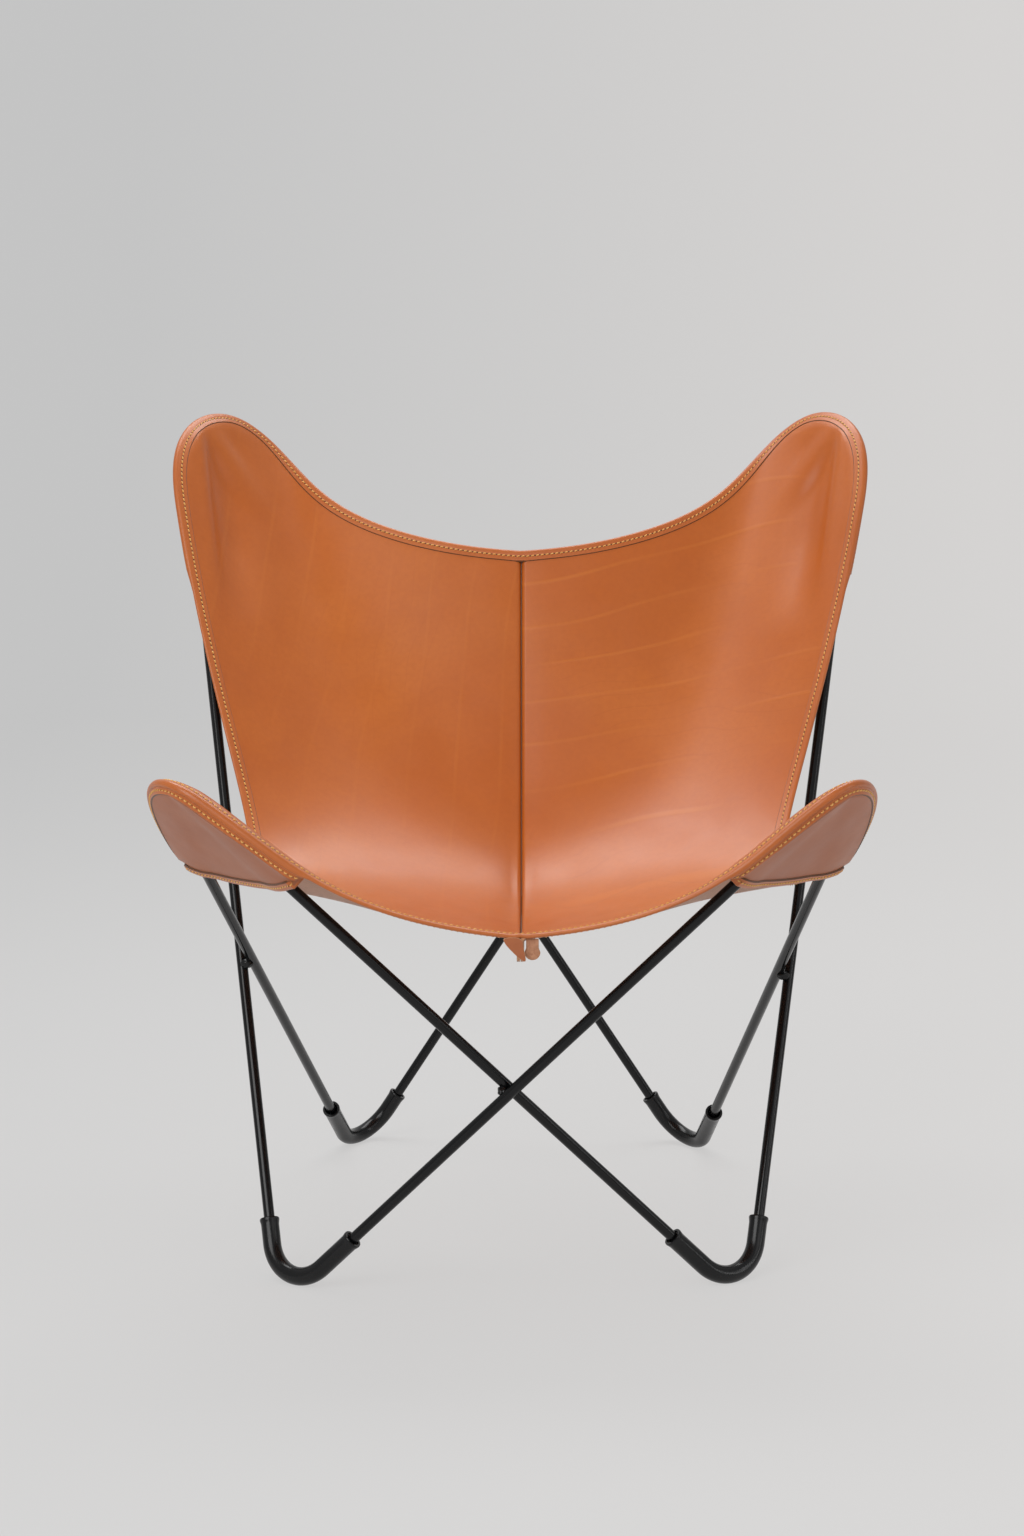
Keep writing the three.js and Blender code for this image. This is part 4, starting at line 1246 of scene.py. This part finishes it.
# %% Thread
fibre_scale = 700.0
fibre_depth = 0.0003
dark_ochre = (0.62, 0.30, 0.055)
light_ochre = (0.88, 0.52, 0.15)
thread_ochre, nodes, links, shader, place = new_material("ochre_thread")
fibres = noise_node(nodes, links, place, fibre_scale, 3.0)
links.new(mix_colors(nodes, links, fibres, dark_ochre, light_ochre), shader.inputs["Base Color"])
links.new(bump_node(nodes, links, fibres, fibre_depth, 0.6), shader.inputs["Normal"])
shader.inputs["Roughness"].default_value = 0.6
shader.inputs["Sheen Weight"].default_value = 0.2
print("thread:", thread_ochre.name)

# %% Rows of stitches with their holes
stitch_pitch = 0.0060
stitch_length = 0.0037
stitch_slant = math.radians(16)
thread_radius = 0.00078
arch_share = 1.0
sunk_share = 0.35
hole_length = 0.0014
hole_width = 0.0010
hole_lift = 0.00012
thread_sides = 8
thread_steps = 6
thread_turns = np.linspace(0, 2 * math.pi, thread_sides, endpoint=False)[:, None]


def along_line(line, ups):
    reach = path_lengths(line)
    count = int(reach[-1] / stitch_pitch)
    middles = (np.arange(count) + 0.5) * reach[-1] / count

    def at(distance, values):
        distance = np.clip(distance, 0, reach[-1])
        return np.stack([np.interp(distance, reach, values[:, axis]) for axis in range(3)], -1)

    starts = at(middles - stitch_length / 2, line)
    ends = at(middles + stitch_length / 2, line)
    holes = at(middles + stitch_pitch / 2, line)
    return starts, ends, holes, unit(at(middles, ups))


def one_stitch(start, end, across, up):
    rings = []
    for share in np.linspace(0, 1, thread_steps + 1):
        lift = thread_radius * (arch_share * math.sin(math.pi * share) - sunk_share)
        centre = lerp(start, end, share) + up * lift
        rings.append(centre + thread_radius * (across * np.cos(thread_turns) + up * np.sin(thread_turns)))
    return np.vstack(rings)


def stitch_row(name, lines):
    body = ring_faces(thread_steps + 1, thread_sides) + end_caps(thread_steps + 1, thread_sides)
    tube_count = (thread_steps + 1) * thread_sides
    points, faces, slots, total = [], [], [], 0
    for line, ups in lines:
        for start, end, hole, up in zip(*along_line(np.array(line), np.array(ups))):
            along = unit(end - start)
            across = np.cross(up, along)
            way = along * math.cos(stitch_slant) + across * math.sin(stitch_slant)
            across = np.cross(up, way)
            middle = (start + end) / 2
            start, end = middle - way * stitch_length / 2, middle + way * stitch_length / 2
            base = total * (tube_count + thread_sides)
            points.append(one_stitch(start, end, across, up))
            faces += [tuple(base + i for i in face) for face in body]
            slots += [0] * len(body)
            base += tube_count
            # Each hole is a small disc of painted shade, lying just above the tape.
            ring = way * hole_length * np.cos(thread_turns) + across * hole_width * np.sin(thread_turns)
            points.append(hole + ring + up * hole_lift)
            faces.append(tuple(range(base, base + thread_sides)))
            slots.append(1)
            total += 1
    piece = make_piece(name, np.vstack(points), faces, [thread_ochre, painted_shade_leather], slots)
    print(name, "has", total, "stitches")
    return piece


def stitch_lines(steps, leg, over_gap, under_gap_of):
    upper, upper_up, lower, lower_up = [], [], [], []
    for step in steps:
        outward = unit(step["rim"] - step["band"])
        under = step.get("under", step)
        top = step["thickness"] / 2 + over_gap + tape_thickness - groove_depth
        bottom = -under["thickness"] / 2 - under_gap_of(step) - tape_thickness + groove_depth
        upper.append(on_leg(step, outward, leg_reaches(leg)[3], 0, top))
        upper_up.append(step["rim_up"])
        under_leg = step.get("under_leg", leg)
        lower.append(on_leg(under, outward, leg_reaches(under_leg)[3], 0, bottom))
        lower_up.append(-under["rim_up"])
    return [(upper, upper_up), (lower, lower_up)]


def edge_under_gap(step):
    return layer_gap if "under" in step else fit_gap


stitch_row("front_edge_stitches", stitch_lines(front_run, tape_leg, fit_gap, edge_under_gap))
stitch_row("back_edge_stitches", stitch_lines(back_run, tape_leg, fit_gap, edge_under_gap))
for (place, name), row in mouths.items():
    stitch_row(
        f"{place}_{name}_mouth_stitches", stitch_lines(row, mouth_leg, layer_gap, lambda step: layer_gap)
    )

# %% [markdown]
# ## The tab under the seam
#
# Just behind the front edge a short tab of thick leather hangs beside the right flange. It
# has a round end and raw edges, and its flesh side looks forward. Left of it the end of the
# left flange is laid aside and shows its grain. Bent sheets could be modelled for both, but
# they are small. An outline, given a thickness, a small bevel and a bow, is all they need.

# %% Small pieces cut from an outline
cut_bevel = 0.0005
outline_rounds = 2
corner_cut = 0.25


def rounded_outline(corners):
    corners = np.array(corners, float)
    for _ in range(outline_rounds):
        ahead = np.roll(corners, -1, axis=0)
        pairs = [lerp(corners, ahead, corner_cut), lerp(corners, ahead, 1 - corner_cut)]
        corners = np.stack(pairs, 1).reshape(-1, 2)
    return corners


def cut_piece(name, outline_points, front, thickness, bow, materials):
    middle = outline_points.mean(axis=0)
    top = outline_points[:, 1].max()
    height = top - outline_points[:, 1].min()
    layers = ((cut_bevel, 0), (0, cut_bevel), (0, thickness - cut_bevel), (cut_bevel, thickness))
    rings = []
    for inset, depth in layers:
        shrunk = outline_points - unit(outline_points - middle) * inset
        hang = (top - shrunk[:, 1]) / height
        rings.append(np.stack([shrunk[:, 0], front + depth + bow * hang ** 2, shrunk[:, 1]], -1))
    sides = len(outline_points)
    faces = ring_faces(len(rings), sides)
    slots = [1] * len(faces)
    faces += end_caps(len(rings), sides)
    slots += [0, 2]
    return make_piece(name, np.vstack(rings), faces, materials, slots)


# %% The tab
tab_width = 0.016
tab_length = 0.022
tab_neck_inset = 0.0016
tab_neck_length = 0.0115
tab_thickness = 0.003
tab_setback = 0.002
tab_gap = 0.0008
tab_bow = 0.0015
bulb = tab_width / 2
tab_left = seam_start[0] + roll_reach - roll_radius + panel_thickness / 2 + tab_gap
tab_front = seam_start[1] + tab_setback
tab_top = seam_start[2] - panel_thickness / 2 - layer_gap - tape_thickness - fit_gap
bulb_steps = 16
bulb_turns = np.linspace(math.pi, 2 * math.pi, bulb_steps + 1)
tab_outline = [(tab_neck_inset, 0), (tab_neck_inset, -tab_neck_length + bulb / 4)]
tab_outline += [
    (bulb + bulb * math.cos(turn), bulb - tab_length + bulb * math.sin(turn)) for turn in bulb_turns
]
tab_outline += [(tab_width - tab_neck_inset, -tab_neck_length + bulb / 4), (tab_width - tab_neck_inset, 0)]
tab_outline = np.array(tab_outline) + np.array([tab_left, tab_top])
tab = cut_piece(
    "seam_tab_leather", tab_outline, tab_front, tab_thickness, tab_bow, [flesh, cut_edge, pocket_hide]
)
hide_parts("seam_tab")
print("tab hangs to", round(float(tab_outline[:, 1].min()), 3), "m")

# %% The end of the left flange, laid aside
flap_width = 0.024
flap_height = 0.0235
flap_thickness = 0.0022
flap_bow = -0.0020
flap_ahead = 0.0027
flap_shares = (
    (-0.72, 0.1), (0.10, 0.1), (0.16, -0.42), (0.28, -0.98), (0.02, -0.86), (-0.34, -0.52), (-0.66, -0.16)
)
flap_outline = rounded_outline([
    (seam_start[0] + flap_width * across, tab_top + flap_height * rise) for across, rise in flap_shares
])
flap_front = seam_start[1] - flap_ahead
flap = cut_piece(
    "left_flange_end", flap_outline, flap_front, flap_thickness, flap_bow, [pocket_hide, cut_edge, flesh]
)
print("flange end hangs to", round(float(flap_outline[:, 1].min()), 3), "m")

# %% [markdown]
# ## The size of the hides
#
# Each half was cut from one hide, as a piece about half a metre wide and a metre long with two
# lobes. The cut size could be found by unrolling the hung surface, but the outline of the hide
# isn't visible in the photo, so it is an estimate. The area printed for each panel is that of the
# hung surface, because leather of this thickness bends but hardly stretches.

# %% [markdown]
# ## Studio
#
# The chair stands on pale paper that runs up into a wall without an edge. A softbox overhead
# gives the soft highlights on the seat. A large one at the front left lights the leather, a
# weak one at the front right opens the shadows, and a narrow strip on the right draws a line
# on the rods. The photographed paper is nearly free of shadow. More lamps would do that too,
# but they would wash out the leather. So the paper shows the eye a pale tone over its lit
# surface, with painted light that grows brighter from left to right, and only a part of each
# shadow stays.

# %% Paper floor and backdrop
floor_half_width = 8.0
floor_front = -7.0
floor_back = 5.5
sweep_radius = 2.0
sweep_steps = 24
wall_height = 8.0
tone_half_width = 1.5
shown_share = 0.83
profile = [(floor_front, 0.0), (floor_back, 0.0)]
for k in range(1, sweep_steps + 1):
    turn = math.pi / 2 * k / sweep_steps
    profile.append((floor_back + sweep_radius * math.sin(turn), sweep_radius * (1 - math.cos(turn))))
profile.append((floor_back + sweep_radius, wall_height))
paper_points = [(x, y, z) for y, z in profile for x in (-floor_half_width, floor_half_width)]
paper_faces = [(2 * k, 2 * k + 1, 2 * k + 3, 2 * k + 2) for k in range(len(profile) - 1)]
paper_mesh = bpy.data.meshes.new("studio_paper")
paper_mesh.from_pydata(paper_points, [], paper_faces)
paper_mesh.shade_smooth()
paper = bpy.data.objects.new("studio_paper", paper_mesh)
bpy.context.scene.collection.objects.link(paper)
print("paper profile points:", len(profile))

# %% The paper's tone and its painted light
paper_tones = ((0.69, 0.69, 0.69), (0.72, 0.72, 0.715))
# Painted light: the tone shown to the eye is darker on the left and brighter on the right, as light falls on
# the paper.
left_painted_light = (0.600, 0.600, 0.600)
right_painted_light = (0.735, 0.720, 0.710)
paper_gray, nodes, links, shader, place = new_material("studio_paper")
cloud = noise_node(nodes, links, place, 1.5, 4.0)
links.new(mix_colors(nodes, links, cloud, *paper_tones), shader.inputs["Base Color"])
shader.inputs["Roughness"].default_value = 0.7
shader.inputs["Specular IOR Level"].default_value = 0.25
split = nodes.new("ShaderNodeSeparateXYZ")
links.new(place, split.inputs["Vector"])
sideways = range_node(nodes, links, split.outputs["X"], -tone_half_width, tone_half_width, 0, 1)
plain = nodes.new("ShaderNodeEmission")
links.new(mix_colors(nodes, links, sideways, left_painted_light, right_painted_light), plain.inputs["Color"])
rays = nodes.new("ShaderNodeLightPath").outputs
seen = rays["Is Camera Ray"]
for other in ("Is Glossy Ray", "Is Transmission Ray"):
    seen = math_node(nodes, links, "MAXIMUM", seen, rays[other])
over = nodes.new("ShaderNodeMixShader")
links.new(range_node(nodes, links, seen, 0, 1, 0, shown_share), over.inputs["Fac"])
links.new(shader.outputs["BSDF"], over.inputs[1])
links.new(plain.outputs["Emission"], over.inputs[2])
links.new(over.outputs["Shader"], nodes["Material Output"].inputs["Surface"])
paper_mesh.materials.append(paper_gray)
print("paper tone:", paper_gray.name)

# %% Lights
lamps = {
    "overhead_box": {"at": (-0.25, 1.10, 2.9), "to": (0.0, 0.0, 0.4), "size": (2.6, 1.4), "power": 48.0},
    "left_box": {"at": (-1.8, -3.0, 2.6), "to": (0.0, 0.0, 0.4), "size": (2.8, 2.4), "power": 82.0},
    "right_box": {"at": (2.6, -2.8, 2.0), "to": (0.0, 0.0, 0.4), "size": (2.2, 2.0), "power": 12.0},
    "right_strip": {"at": (2.9, -0.9, 1.3), "to": (0.0, 0.0, 0.5), "size": (0.22, 2.0), "power": 6.0},
}
for name, lamp in lamps.items():
    data = bpy.data.lights.new(name, "AREA")
    data.shape = "RECTANGLE"
    data.size, data.size_y = lamp["size"]
    data.energy = lamp["power"]
    light = bpy.data.objects.new(name, data)
    light.location = lamp["at"]
    way = Vector(lamp["to"]) - Vector(lamp["at"])
    light.rotation_euler = way.to_track_quat("-Z", "Y").to_euler()
    bpy.context.scene.collection.objects.link(light)
air_gray = 0.9
air_strength = 0.46
world = bpy.data.worlds.new("studio_air")
world.use_nodes = True
air = world.node_tree.nodes["Background"].inputs
air["Color"].default_value = (air_gray, air_gray, air_gray, 1.0)
air["Strength"].default_value = air_strength
bpy.context.scene.world = world
bpy.context.scene.view_settings.view_transform = "Standard"
print("lights:", list(lamps))

# %% Camera
lens = 70.0
sensor = 36.0
camera_distance = 3.3912
camera_height = 0.9598
camera_sideways = -0.005
chair_turn = math.radians(-1.255)
look_down = math.radians(7.073)
camera_roll = math.radians(-0.152)
forward = Vector((0, math.cos(look_down), -math.sin(look_down)))
level = Vector((1, 0, 0))
upright = level.cross(forward)
right = level * math.cos(camera_roll) + upright * math.sin(camera_roll)
up = upright * math.cos(camera_roll) - level * math.sin(camera_roll)
pose = Matrix((
    (right.x, up.x, -forward.x, camera_sideways),
    (right.y, up.y, -forward.y, -camera_distance),
    (right.z, up.z, -forward.z, camera_height),
    (0, 0, 0, 1),
))
camera_data = bpy.data.cameras.new("studio_camera")
camera_data.lens = lens
camera_data.sensor_fit = "VERTICAL"
camera_data.sensor_height = sensor
camera = bpy.data.objects.new("studio_camera", camera_data)
bpy.context.scene.collection.objects.link(camera)
camera.matrix_world = Matrix.Translation(Vector(middle_shift)) @ Matrix.Rotation(-chair_turn, 4, "Z") @ pose
bpy.context.scene.camera = camera
print("camera at", [round(v, 3) for v in camera.matrix_world.translation])
